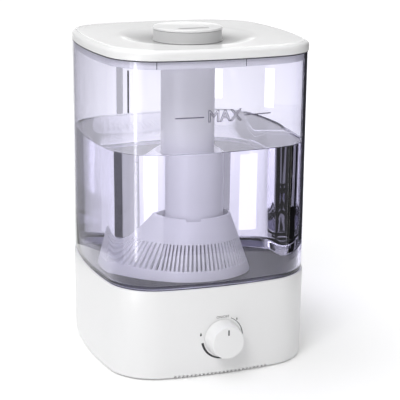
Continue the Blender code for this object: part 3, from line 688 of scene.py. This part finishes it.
class HUMIDIFIER_OT_base_shell(bpy.types.Operator):
    """Builds the tapered white base with its rounded lip and the row of vents at its foot"""

    bl_idname = "humidifier.base_shell"
    bl_label = "Base shell"

    def execute(self, context):
        top, low = BASE_HIGH.z, BASE_LOW.z
        lip, foot = 1.1 * MM, 2.4 * MM
        inner_high, inner_low = 94.2 * MM, 93.8 * MM
        sections = [(inner_high, top)]
        sections += arc((BASE_HALF - lip, top - lip), lip, 90, 0, 5)
        sections += [(base_half_at(z), z) for z in (top * 0.72 + low * 0.28, (top + low) / 2, low + 8 * MM)]
        sections += arc((BASE_HALF_LOW - foot, low + foot), foot, 0, -60, 5)
        sections += [(BASE_HALF_LOW - foot + 0.3 * MM, low), (inner_low, low)]
        shell = loft("base_shell", [square_ring(half, height) for half, height in sections])
        vents = grow("vent_cutter", row_of_boxes_tree(), {
            "Count": VENT_COUNT, "Start": (-(VENT_COUNT - 1) / 2 * VENT_PITCH, AXIS_Y - 93.5 * MM, low),
            "Step": (VENT_PITCH, 0, 0), "Box": (VENT_WIDTH, 11 * MM, 2 * VENT_HEIGHT),
            "Material": finish("white_plastic")})
        carve(shell, vents)
        hole = turned("shaft_hole", [(0, 6 * MM), (4.5 * MM, 6 * MM), (4.5 * MM, -6 * MM), (0, -6 * MM)],
                      dial_place(), 32)
        carve(shell, hole)
        socket, height = Matrix.Rotation(-math.pi / 2, 4, "X"), 14 * MM
        place = Matrix.Translation((0, AXIS_Y + BASE_HALF_LOW, height)) @ socket
        hole = turned("socket_hole", [(0, 6 * MM), (5.5 * MM, 6 * MM), (5.5 * MM, -6 * MM), (0, -6 * MM)],
                      place, 32)
        carve(shell, hole)
        settle(shell, "white_plastic", "base", ["base_housing"], 25)
        return {"FINISHED"}


def dial_place():
    """Stands a turned piece on the front face at the dial, its own +Z towards the user."""
    face = AXIS_Y - base_half_at(DIAL_HEIGHT)
    return Matrix.Translation((0, face, DIAL_HEIGHT)) @ Matrix.Rotation(math.pi / 2, 4, "X")


class HUMIDIFIER_OT_dial(bpy.types.Operator):
    """Builds the dial knob and its pointer line"""

    bl_idname = "humidifier.dial"
    bl_label = "Dial"

    def execute(self, context):
        depth = AXIS_Y - base_half_at(DIAL_HEIGHT) - KNOB_LOW.y
        front_r, rim = 14.7 * MM, 0.7 * MM
        profile = [(0, depth)]
        profile += [(front_r - 3.2 * MM, depth), (front_r - 1.3 * MM, depth)]
        profile += arc((front_r - rim, depth - rim), rim, 90, 8, 5)
        profile += [(front_r + (KNOB_R - front_r) * share, depth * (1 - share)) for share in (0.3, 0.6, 0.9)]
        profile += [(KNOB_R - 0.1 * MM, 0.8 * MM), (KNOB_R - 0.5 * MM, 0.4 * MM),
                    (KNOB_R - 2 * MM, 0.4 * MM), (front_r - 2 * MM, depth - 2.4 * MM),
                    (5.2 * MM, depth - 2.4 * MM), (5.2 * MM, 2.9 * MM), (3.3 * MM, 2.9 * MM),
                    (3.3 * MM, depth - 3 * MM), (0, depth - 3 * MM)]
        knob = turned("dial_body", profile, dial_place(), 128)
        settle(knob, "white_plastic", "knob", ["dial_knob"], 25)
        front = KNOB_LOW.y
        proud = 0.06 * MM
        line = box_mesh("pointer_line", (POINTER_LOW.x, front - proud, POINTER_LOW.z),
                        (POINTER_HIGH.x, front + 0.3 * MM, POINTER_HIGH.z))
        settle(line, "print_ink", "knob", ["dial_pointer"], 0)
        return {"FINISHED"}


class HUMIDIFIER_OT_scale(bpy.types.Operator):
    """Prints the tapering scale, the off mark and the low and high signs round the dial"""

    bl_idname = "humidifier.scale"
    bl_label = "Dial scale"

    def execute(self, context):
        radius, ink = sizes().scale_radius, 0.06 * MM
        start, end, steps = 24, 260, 60
        points, widths = [], []
        for step in range(steps + 1):
            share = step / steps
            turn = math.radians(start + (end - start) * share)
            points.append((radius * math.sin(turn), DIAL_HEIGHT + radius * math.cos(turn)))
            widths.append((0.45 + 1.7 * share**1.3) * MM)
        parts = [stroke("scale_arc", points, widths, ink)]
        parts.append(lettering("off_mark", "ON/OFF", 3.3 * MM, (0, DIAL_HEIGHT + radius + 0.2 * MM), ink))
        for name, turn, size in (("low", 40, 1.7), ("high", 283, 2.4)):
            angle, away = math.radians(turn), radius + 1.8 * MM
            centre = (away * math.sin(angle), DIAL_HEIGHT + away * math.cos(angle))
            parts.append(drop_sign(name + "_sign", centre, size * MM, ink))
        marks = joined("dial_scale", parts)
        lay_on_front(marks, base_half_at, 0.0)
        settle(marks, "print_ink", "base", angle=0)
        return {"FINISHED"}


def drop_sign(name, centre, size, ink):
    """A small drop, pointed at the top, as a thin raised sign in the XZ plane."""
    shape = bmesh.new()
    count = 24
    front, back = [], []
    for index in range(count):
        angle = 2 * math.pi * index / count
        pinch = (1 + math.cos(angle)) / 2
        x = centre[0] + size * 0.5 * math.sin(angle) * (1 - 0.75 * pinch)
        z = centre[1] + size * 0.6 * math.cos(angle) + size * 0.25 * pinch**4
        front.append(shape.verts.new((x, -ink, z)))
        back.append(shape.verts.new((x, 0, z)))
    for index in range(count):
        after = (index + 1) % count
        shape.faces.new((front[index], front[after], back[after], back[index]))
    shape.faces.new(front[::-1])
    shape.faces.new(back)
    bmesh.ops.recalc_face_normals(shape, faces=shape.faces)
    return make_object(name, shape)


# ---------------------------------------------------------------- pieces of the tank


class HUMIDIFIER_OT_tank(bpy.types.Operator):
    """Builds the clear tank with its stepped foot, floor and collar"""

    bl_idname = "humidifier.tank"
    bl_label = "Tank"

    def execute(self, context):
        inner = TANK_HALF - TANK_WALL
        step_inner = TANK_STEP_HALF - TANK_WALL
        shoulder, top = TANK_SHOULDER, TANK_HIGH.z
        bottom = TANK_LOW.z
        edge = 2.6 * MM
        rings = [square_ring(TANK_HALF - 0.5 * MM, top), square_ring(TANK_HALF, top - 0.5 * MM)]
        rings += [square_ring(TANK_HALF, top + (shoulder - top) * share) for share in (0.25, 0.5, 0.75)]
        outer = arc((TANK_HALF - edge, shoulder + edge), edge, 0, -90, 6)
        rings += [square_ring(half, height) for half, height in outer]
        rings += [square_ring(TANK_STEP_HALF, shoulder), square_ring(TANK_STEP_HALF, bottom + 0.8 * MM),
                  square_ring(TANK_STEP_HALF - 0.8 * MM, bottom)]
        rings += [round_ring(45 * MM, bottom), round_ring(COLLAR_BORE_R, bottom)]
        rings += [round_ring(COLLAR_BORE_R, COLLAR_TOP), round_ring(COLLAR_R, COLLAR_TOP),
                  round_ring(COLLAR_R, TANK_FLOOR), round_ring(45 * MM, TANK_FLOOR)]
        rings += [square_ring(step_inner - 1.3 * MM, TANK_FLOOR),
                  square_ring(step_inner, TANK_FLOOR + 1.3 * MM),
                  square_ring(step_inner, shoulder + 1.2 * MM)]
        rise = 2.0 * MM
        bend = arc((inner - rise, shoulder + 2.6 * MM + rise), rise, -90, 0, 5)
        rings += [square_ring(step_inner + 0.8 * MM, shoulder + 2.6 * MM)]
        rings += [square_ring(half, height) for half, height in bend]
        rings += [square_ring(inner, shoulder + (top - shoulder) * share) for share in (0.25, 0.5, 0.75)]
        rings += [square_ring(inner, top - 0.5 * MM), square_ring(inner + 0.5 * MM, top)]
        shell = loft("tank_shell", rings)
        drain = [(0, 12 * MM), (DRAIN_R, 12 * MM), (DRAIN_R, 0), (0, 0)]
        place = Matrix.Translation((DRAIN_AT.x, DRAIN_AT.y, bottom - 4 * MM))
        carve(shell, turned("drain", drain, place, 32))
        settle(shell, "clear_tank", "tank", ["tank"], 35)
        # A dark ring laid on the tank's floor round the strainer's foot: painted shade for the shade seen
        # through the floor.
        low, high = TANK_FLOOR + 0.2 * MM, TANK_FLOOR + 0.35 * MM
        reach = step_inner - 1.6 * MM
        shade_ring = loft("floor_shade_ring", [round_ring(CONE_FOOT_R + 0.1 * MM, high), square_ring(reach, high),
                                 square_ring(reach, low), round_ring(CONE_FOOT_R + 0.1 * MM, low)])
        settle(shade_ring, "floor_shade", "tank", angle=0)
        # A dark ring in the gap between the tank's foot and the base's lip: painted shade for that gap.
        low, high = shoulder - 0.24 * MM, shoulder - 0.02 * MM
        outer, inside = TANK_HALF - 1.0 * MM, TANK_STEP_HALF + 0.1 * MM
        foot = loft("foot_shade_ring", [square_ring(inside, high), square_ring(outer, high),
                                  square_ring(outer, low), square_ring(inside, low)])
        settle(foot, "painted_shade_black", "tank", angle=0)
        # A dark line round the tank's top edge under the lid: painted shade for that edge.
        low, high = top - 0.75 * MM, top - 0.02 * MM
        outer = TANK_HALF + 0.05 * MM
        rim = loft("rim_shade_line", [square_ring(outer - 0.2 * MM, high), square_ring(outer, high),
                                square_ring(outer, low), square_ring(outer - 0.2 * MM, low)])
        settle(rim, "painted_shade_black", "tank", angle=0)
        return {"FINISHED"}


class HUMIDIFIER_OT_water(bpy.types.Operator):
    """Fills the tank to its water level, with the edge of the water drawn up the wall"""

    bl_idname = "humidifier.water"
    bl_label = "Water"

    def execute(self, context):
        gap, level = 0.05 * MM, sizes().water_level
        inner = TANK_HALF - TANK_WALL - gap
        step_inner = TANK_STEP_HALF - TANK_WALL - gap
        shoulder = TANK_SHOULDER
        rise = 2.0 * MM
        climb = 1.1 * MM
        bend = arc((inner - rise, shoulder + 2.6 * MM + rise), rise, 0, -90, 5)
        sections = [(60 * MM, level), (inner - 6 * MM, level), (inner - 5.5 * MM, level),
                    (inner - 2 * MM, level + 0.12 * climb), (inner - 0.8 * MM, level + 0.45 * climb),
                    (inner, level + climb)]
        sections += [(inner, shoulder + (level - shoulder) * share) for share in (0.66, 0.33)]
        sections += [(half, height + gap) for half, height in bend]
        sections += [(step_inner + 0.8 * MM, shoulder + 2.6 * MM + gap), (step_inner, shoulder + 1.2 * MM),
                     (step_inner, TANK_FLOOR + 1.4 * MM), (step_inner - 1.3 * MM, TANK_FLOOR + gap),
                     (60 * MM, TANK_FLOOR + gap)]
        water = loft("water", [square_ring(half, height) for half, height in sections], closed=False)
        settle(water, "water", "tank", angle=50)
        return {"FINISHED"}


class HUMIDIFIER_OT_fill_mark(bpy.types.Operator):
    """Raises the fill mark on the front of the tank: a line, the outlined word and a line"""

    bl_idname = "humidifier.fill_mark"
    bl_label = "Fill mark"

    def execute(self, context):
        parts = [lettering("mark_word", "MAX", 14.2 * MM, (-1.0 * MM, MAX_LINE_Z), 0, outlined=0.32 * MM)]
        for low, high in ((-44.5, -19.5), (17.0, 42.0)):
            points = [((low + (high - low) * step / 8) * MM, MAX_LINE_Z) for step in range(9)]
            parts.append(stroke("mark_line", points, [0.9 * MM] * 9, 0.35 * MM))
        mark = joined("max_mark", parts)
        lay_on_front(mark, lambda height: TANK_HALF, -0.05 * MM)
        settle(mark, "fill_mark", "tank", angle=40)
        return {"FINISHED"}


class HUMIDIFIER_OT_mist_tube(bpy.types.Operator):
    """Builds the white mist tube that stands in the middle of the tank"""

    bl_idname = "humidifier.mist_tube"
    bl_label = "Mist tube"

    def execute(self, context):
        top, low, bore = TUBE_HIGH.z, TUBE_LOW.z, TUBE_R - 2 * MM
        heights = [top - 0.5 * MM] + [top + (low - top) * share for share in (0.25, 0.5, 0.75)]
        profile = [(TUBE_R - 0.5 * MM, top)] + [(TUBE_R, height) for height in heights]
        profile += [(TUBE_R, low), (bore, low), (bore, top)]
        settle(turned("mist_column", profile, steps=128), "inner_lit_white", "tank", ["mist_tube"])
        return {"FINISHED"}


def cone_radius(height):
    share = (height - CONE_LOW.z) / (CONE_HIGH.z - CONE_LOW.z)
    return CONE_FOOT_R + (CONE_TOP_R - CONE_FOOT_R) * share


class HUMIDIFIER_OT_strainer(bpy.types.Operator):
    """Builds the strainer cone: two plain bands, the ribs between them and the notched top ring"""

    bl_idname = "humidifier.strainer"
    bl_label = "Strainer cone"

    def execute(self, context):
        wall, low, top = CONE_WALL, CONE_LOW.z, CONE_HIGH.z
        shelf = STRAINER_SHELF
        over = [(CONE_TOP_R - 0.5 * MM, top), (CONE_TOP_R, top - 0.5 * MM)]
        over += [(cone_radius(z), z) for z in (STRAINER_BEND, SLOT_HIGH)]
        over += [(cone_radius(SLOT_HIGH) - wall, SLOT_HIGH), (cone_radius(shelf) - wall, shelf),
                 (TUBE_R + 0.3 * MM, shelf), (TUBE_R + 0.3 * MM, shelf + 1.8 * MM),
                 (cone_radius(shelf + 1.8 * MM) - wall, shelf + 1.8 * MM),
                 (CONE_TOP_R - wall + 0.3 * MM, top)]
        under = [(cone_radius(SLOT_LOW), SLOT_LOW), (cone_radius(low + 1 * MM), low + 1 * MM),
                 (CONE_FOOT_R - 0.3 * MM, low), (CONE_FOOT_R - wall, low),
                 (cone_radius(SLOT_LOW) - wall, SLOT_LOW)]
        upper = turned("upper_band", over, steps=144)
        notch = box_mesh("notch", (-NOTCH_HALF, -40 * MM, top - NOTCH_DEPTH),
                         (NOTCH_HALF, -20 * MM, top + MM))
        turn = Matrix.Rotation(math.radians(NOTCH_TURN), 4, "Z")
        notch.data.transform(Matrix.Translation((0, AXIS_Y, 0)) @ turn)
        carve(upper, notch)
        slope = math.atan2(CONE_FOOT_R - CONE_TOP_R, top - low)
        middle = (SLOT_LOW + SLOT_HIGH) / 2
        length = (SLOT_HIGH - SLOT_LOW) / math.cos(slope) + 2 * MM
        ribs = grow("ribs", ring_of_boxes_tree(), {
            "Count": STRAINER_SLOTS, "Radius": cone_radius(middle) - wall / 2 / math.cos(slope),
            "Height": middle, "Lean": -slope, "Box": (wall - 0.1 * MM, RIB_WIDTH, length),
            "Axis": (0, AXIS_Y, 0), "Material": finish("inner_lit_white")})
        cone = joined("strainer_cover", [upper, turned("lower_band", under, steps=144), ribs])
        settle(cone, "inner_lit_white", "tank", ["strainer_cone"], 25)
        return {"FINISHED"}


# ---------------------------------------------------------------- pieces of the lid


class HUMIDIFIER_OT_lid(bpy.types.Operator):
    """Builds the lid with its soft rim and round bowl, and the liner with its skirt and spigot"""

    bl_idname = "humidifier.lid"
    bl_label = "Lid"

    def execute(self, context):
        low, rim = LID_LOW.z, LID_HIGH.z
        crease = LID_CREASE_HALF
        outside = [(LID_HALF - 0.4 * MM, low), (LID_HALF, low + 0.4 * MM), (LID_HALF, rim - 5.0 * MM)]
        shoulder = 3.4 * MM
        outside += arc((LID_HALF - shoulder, rim - 0.25 * MM - shoulder), shoulder, 0, 84, 8)
        outside += [(crease + 0.35 * MM, rim), (crease + 0.1 * MM, rim - 0.8 * MM),
                    (crease - 0.5 * MM, rim - 0.8 * MM), (crease - 0.8 * MM, rim - 0.1 * MM)]
        rings = [square_ring(half, height) for half, height in outside]
        flat = rim - 0.5 * MM
        dish = flat - 0.9 * MM
        for share in (0.0, 0.25, 0.5, 0.75):
            rings.append(blend_ring(crease - 4 * MM, BOWL_R, share, flat + (dish - flat) * share**1.5))
        drop, steps = dish - BOWL_FLOOR, 14
        for step in range(steps + 1):
            share = step / steps
            radius = BOWL_R - (BOWL_R - BOWL_FLOOR_R) * share
            height = BOWL_FLOOR + drop * (1 + math.cos(math.pi * share)) / 2
            rings.append(round_ring(radius, height))
        back = low + 0.8 * MM
        rings += [round_ring(NOZZLE_HOLE_R, BOWL_FLOOR), round_ring(NOZZLE_HOLE_R, back),
                  round_ring(BOWL_R + 2 * MM, back), round_ring(BOWL_R + 2 * MM, rim - 3 * MM),
                  square_ring(LID_HALF - LID_WALL, rim - 3 * MM), square_ring(LID_HALF - LID_WALL, low)]
        cover = loft("lid_top", rings[::-1])
        settle(cover, "lid_white", "lid", ["lid_cover"], 28)

        half, top, skirt = LINER_HIGH.x, LINER_HIGH.z, SKIRT_LOW
        wall, spigot_low = 2.2 * MM, LINER_LOW.z
        rings = [square_ring(half - MM, top), square_ring(half, top - MM),
                 square_ring(half, skirt + 0.4 * MM),
                 square_ring(half - 0.4 * MM, skirt), square_ring(half - wall, skirt),
                 square_ring(half - wall, top - 2 * MM), round_ring(COLLAR_R, top - 2 * MM),
                 round_ring(COLLAR_R, spigot_low), round_ring(COLLAR_BORE_R, spigot_low),
                 round_ring(COLLAR_BORE_R, top)]
        liner = loft("lid_tray", rings)
        settle(liner, "inner_lit_white", "lid", ["lid_liner"], 28)
        # The slits are dark strokes laid on the skirt, not cut through it: painted shade of their openings.
        slits = []
        for place in SLIT_PLACES:
            line = [(place, skirt + 0.2 * MM), (place, LID_LOW.z - 1.0 * MM)]
            slits.append(stroke("slit", line, [0.5 * MM] * 2, 0.05 * MM))
        marks = joined("skirt_slits", slits)
        lay_on_front(marks, lambda height: half, 0.0)
        settle(marks, "painted_shade_black", "lid", angle=0)
        return {"FINISHED"}


def blend_ring(half, radius, share, height):
    """A ring between the rounded square and a circle, by share."""
    pairs = zip(square_ring(half, height), round_ring(radius, height))
    return [first.lerp(second, share) for first, second in pairs]


class HUMIDIFIER_OT_nozzle(bpy.types.Operator):
    """Builds the turning nozzle: the drum and its slotted cap"""

    bl_idname = "humidifier.nozzle"
    bl_label = "Mist nozzle"

    def execute(self, context):
        top, foot = DRUM_HIGH.z, DRUM_LOW.z + 2.7 * MM
        radius = CAP_R - 0.4 * MM
        flare = 0.5 * MM
        profile = [(radius - 0.3 * MM, top), (radius, top - 0.3 * MM), (radius, foot + 2.2 * MM),
                   (radius + 0.3 * flare, foot + 0.8 * MM), (radius + flare, foot),
                   (23.6 * MM, foot), (23.6 * MM, DRUM_LOW.z), (21 * MM, DRUM_LOW.z),
                   (21 * MM, foot + 2.2 * MM), (radius - 2.4 * MM, foot + 2.2 * MM),
                   (radius - 2.4 * MM, top)]
        settle(turned("nozzle_drum", profile, steps=144), "nozzle_shaded_white", "nozzle", ["nozzle_body"],
               25)
        high, low, edge = CAP_HIGH.z, CAP_LOW.z, 0.6 * MM
        profile = [(0, high)] + arc((CAP_R - edge, high - edge), edge, 90, 0, 4)
        profile += [(CAP_R, low + 0.2 * MM), (CAP_R - 0.2 * MM, low), (0, low)]
        plate = turned("nozzle_plate", profile, steps=144)
        carve(plate, slot_cutter(high, low))
        settle(plate, "white_plastic", "nozzle", ["nozzle_cap"], 25)
        # A dark plate under the cap's slot: painted shade for the slot's dark inside, and a guessed dark
        # part of the real nozzle.
        half, deep = MIST_SLOT_LENGTH / 2 + MM, MIST_SLOT_WIDTH / 2 + MM
        middle = AXIS_Y + MIST_SLOT_Y
        shade_plate = box_mesh("slot_shade_baffle", (-half, middle - deep, low - 1.0 * MM),
                          (half, middle + deep, low - 0.5 * MM))
        settle(shade_plate, "painted_shade_black", "nozzle", angle=0)
        return {"FINISHED"}


def slot_cutter(high, low):
    """A round-ended upright prism through the nozzle's cap."""
    middle, end_r = (MIST_SLOT_LENGTH - MIST_SLOT_WIDTH) / 2, MIST_SLOT_WIDTH / 2
    ring, half_steps = [], 12
    for side, start in ((1, -90), (-1, 90)):
        for step in range(half_steps + 1):
            angle = math.radians(start + 180 * step / half_steps)
            ring.append((side * middle + end_r * math.cos(angle), end_r * math.sin(angle)))
    rings = [[Vector((x, AXIS_Y + MIST_SLOT_Y + y, height)) for x, y in ring]
             for height in (high + MM, low - MM)]
    return loft("slot_cutter", rings, closed=False)


# ---------------------------------------------------------------- working parts and stage

NODE_FINISH = {
    "base_deck": "white_plastic", "bottom_plate": "white_plastic", "float": "inner_lit_white",
    "float_arm": "inner_lit_white", "air_duct": "inner_lit_white", "valve_plunger": "inner_lit_white",
    "valve_cage": "inner_lit_white", "transducer_gasket": "silicone", "tube_seal_lower": "silicone",
    "tube_seal_upper": "silicone", "valve_seal": "silicone", "float_pin": "steel",
    "float_magnet": "steel", "dial_potentiometer": "steel", "dial_shaft": "steel",
    "dial_nut": "steel", "valve_spring": "steel", "transducer_bracket": "aluminium",
    "heatsink": "aluminium", "float_sensor": "black_plastic", "fan_frame": "black_plastic",
    "fan_rotor": "black_plastic", "capacitor": "black_plastic", "dc_socket": "black_plastic",
    "main_board": "circuit_board", "transducer_disc": "piezo_ceramic", "power_coil": "copper",
}
NODE_FINISH_STARTS = {"foot_": "foot_rubber", "base_screw_": "steel", "bracket_screw_": "steel"}


class HUMIDIFIER_OT_working_parts(bpy.types.Operator):
    """Gives each working part that stays in view its finish"""

    bl_idname = "humidifier.working_parts"
    bl_label = "Working parts"

    def execute(self, context):
        for name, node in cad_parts.items():
            started = [made for start, made in NODE_FINISH_STARTS.items() if name.startswith(start)]
            chosen = NODE_FINISH.get(name, started[0] if started else "white_plastic")
            for slot in node.material_slots:
                slot.material = finish(chosen)
        return {"FINISHED"}


class HUMIDIFIER_OT_stage(bpy.types.Operator):
    """Sets the pale floor, the soft studio light and the camera"""

    bl_idname = "humidifier.stage"
    bl_label = "Stage"

    def execute(self, context):
        floor = box_mesh("floor", (-9, -9, -0.02), (9, 9, 0))
        paint, tree, shader = new_material("floor_paint")
        shader.inputs["Base Color"].default_value = (0.93, 0.93, 0.93, 1)
        shader.inputs["Roughness"].default_value = 0.9
        shader.inputs["Specular IOR Level"].default_value = 0.1
        shader.inputs["Emission Color"].default_value = (1, 1, 1, 1)
        self.brighten_far(tree, shader)
        floor.data.materials.append(paint)
        self.light_world(context.scene)
        soft_light("key_light", KEY_PLACE, KEY_SIZE, sizes().key_power)
        soft_light("top_light", TOP_PLACE, TOP_SIZE, TOP_POWER)
        for name, (start, end), (low, high), distance, tone in SURROUND:
            surround_card(name, start, end, low, high, distance, tone)
        self.set_camera(context.scene)
        return {"FINISHED"}

    def brighten_far(self, tree, shader):
        """Lets the floor glow a little to the eye, more so far off, and not light the object."""
        where = add_node(tree, "ShaderNodeTexCoord")
        away = add_node(tree, "ShaderNodeVectorMath", {0: where.outputs["Object"]}, operation="LENGTH")
        glow = add_node(tree, "ShaderNodeMapRange", {
            "Value": away.outputs["Value"], "From Min": GLOW_START, "From Max": GLOW_END,
            "To Min": GLOW_NEAR, "To Max": GLOW_FAR})
        path = add_node(tree, "ShaderNodeLightPath")
        seen = add_node(tree, "ShaderNodeMath", {0: 1.0, 1: path.outputs["Is Diffuse Ray"]},
                        operation="SUBTRACT")
        strength = add_node(tree, "ShaderNodeMath", {
            0: glow.outputs["Result"], 1: seen.outputs["Value"]}, operation="MULTIPLY")
        tree.links.new(strength.outputs["Value"], shader.inputs["Emission Strength"])

    def light_world(self, scene):
        """An even pale surround, which the camera itself sees as white."""
        scene.view_settings.view_transform = "Standard"
        world = bpy.data.worlds.new("studio")
        scene.world = world
        world.use_nodes = True
        back = world.node_tree.nodes["Background"]
        back.inputs["Color"].default_value = (1, 1, 1, 1)
        back.inputs["Strength"].default_value = sizes().sky_strength
        tree = world.node_tree
        behind = add_node(tree, "ShaderNodeBackground", {"Color": (1, 1, 1, 1)})
        path = add_node(tree, "ShaderNodeLightPath")
        mixed = add_node(tree, "ShaderNodeMixShader", {
            "Fac": path.outputs["Is Camera Ray"], 1: back.outputs["Background"],
            2: behind.outputs["Background"]})
        tree.links.new(mixed.outputs["Shader"], tree.nodes["World Output"].inputs["Surface"])

    def set_camera(self, scene):
        azimuth, elevation = math.radians(CAMERA_AZIMUTH), math.radians(CAMERA_ELEVATION)
        right = Vector((math.cos(azimuth), math.sin(azimuth), 0))
        back = Vector((math.sin(azimuth) * math.cos(elevation), -math.cos(azimuth) * math.cos(elevation),
                       math.sin(elevation)))
        aim = Vector((0, AXIS_Y, CAMERA_AIM_Z)) + right * CAMERA_OFFSET
        lens = bpy.data.cameras.new("camera")
        lens.lens = CAMERA_LENS
        lens.sensor_width = 36
        camera = bpy.data.objects.new("camera", lens)
        scene.collection.objects.link(camera)
        up = back.cross(right)
        turn = Matrix((right, up, back)).transposed() @ Matrix.Rotation(math.radians(CAMERA_ROLL), 3, "Z")
        camera.matrix_world = Matrix.Translation(aim + back * CAMERA_DISTANCE) @ turn.to_4x4()
        scene.camera = camera


def surround_card(name, start, end, low, high, distance, tone):
    """A curved card about the object, between two azimuths, that only shows in glass and gloss."""
    shape = bmesh.new()
    steps = max(1, round((end - start) / 4))
    columns = []
    for step in range(steps + 1):
        angle = math.radians(start + (end - start) * step / steps)
        foot = Vector((distance * math.cos(angle), AXIS_Y + distance * math.sin(angle), 0))
        columns.append([shape.verts.new(foot + Vector((0, 0, height))) for height in (low, high)])
    for first, second in zip(columns, columns[1:]):
        shape.faces.new((first[0], second[0], second[1], first[1]))
    card = make_object(name, shape)
    paint, _, shader = new_material(name)
    shader.inputs["Base Color"].default_value = (0, 0, 0, 1)
    shader.inputs["Specular IOR Level"].default_value = 0
    shader.inputs["Emission Color"].default_value = (1, 1, 1, 1)
    shader.inputs["Emission Strength"].default_value = tone
    card.data.materials.append(paint)
    card.visible_camera = card.visible_diffuse = card.visible_shadow = False
    return card


def soft_light(name, place, size, power):
    """A large rectangular light aimed at the middle of the object."""
    lamp = bpy.data.lights.new(name, "AREA")
    lamp.shape = "RECTANGLE"
    lamp.size, lamp.size_y = size
    lamp.energy = power
    light = bpy.data.objects.new(name, lamp)
    bpy.context.scene.collection.objects.link(light)
    aim = Vector((0, AXIS_Y, 0.15)) - Vector(place)
    light.location = place
    light.rotation_euler = aim.to_track_quat("-Z", "Y").to_euler()
    return light


# ---------------------------------------------------------------- add-on


STEPS = (
    HUMIDIFIER_OT_stage,
    HUMIDIFIER_OT_base_shell,
    HUMIDIFIER_OT_dial,
    HUMIDIFIER_OT_scale,
    HUMIDIFIER_OT_tank,
    HUMIDIFIER_OT_water,
    HUMIDIFIER_OT_fill_mark,
    HUMIDIFIER_OT_mist_tube,
    HUMIDIFIER_OT_strainer,
    HUMIDIFIER_OT_lid,
    HUMIDIFIER_OT_nozzle,
    HUMIDIFIER_OT_working_parts,
)


class HUMIDIFIER_PT_build(bpy.types.Panel):
    """Lists the steps that build the humidifier"""

    bl_idname = "HUMIDIFIER_PT_build"
    bl_label = "Humidifier"
    bl_space_type = "VIEW_3D"
    bl_region_type = "UI"
    bl_category = "Humidifier"

    def draw(self, context):
        column = self.layout.column()
        for group in (context.scene.humidifier_colours, context.scene.humidifier_sizes):
            for label in group.__annotations__:
                column.prop(group, label)
        for step in STEPS:
            column.operator(step.bl_idname)


CLASSES = (HumidifierColours, HumidifierSizes, *STEPS, HUMIDIFIER_PT_build)


def register():
    for item in CLASSES:
        bpy.utils.register_class(item)
    bpy.types.Scene.humidifier_colours = bpy.props.PointerProperty(type=HumidifierColours)
    bpy.types.Scene.humidifier_sizes = bpy.props.PointerProperty(type=HumidifierSizes)


def unregister():
    del bpy.types.Scene.humidifier_sizes
    del bpy.types.Scene.humidifier_colours
    for item in reversed(CLASSES):
        bpy.utils.unregister_class(item)


def main():
    register()
    for step in STEPS:
        family, name = step.bl_idname.split(".")
        getattr(getattr(bpy.ops, family), name)()


if __name__ == "__main__":
    main()
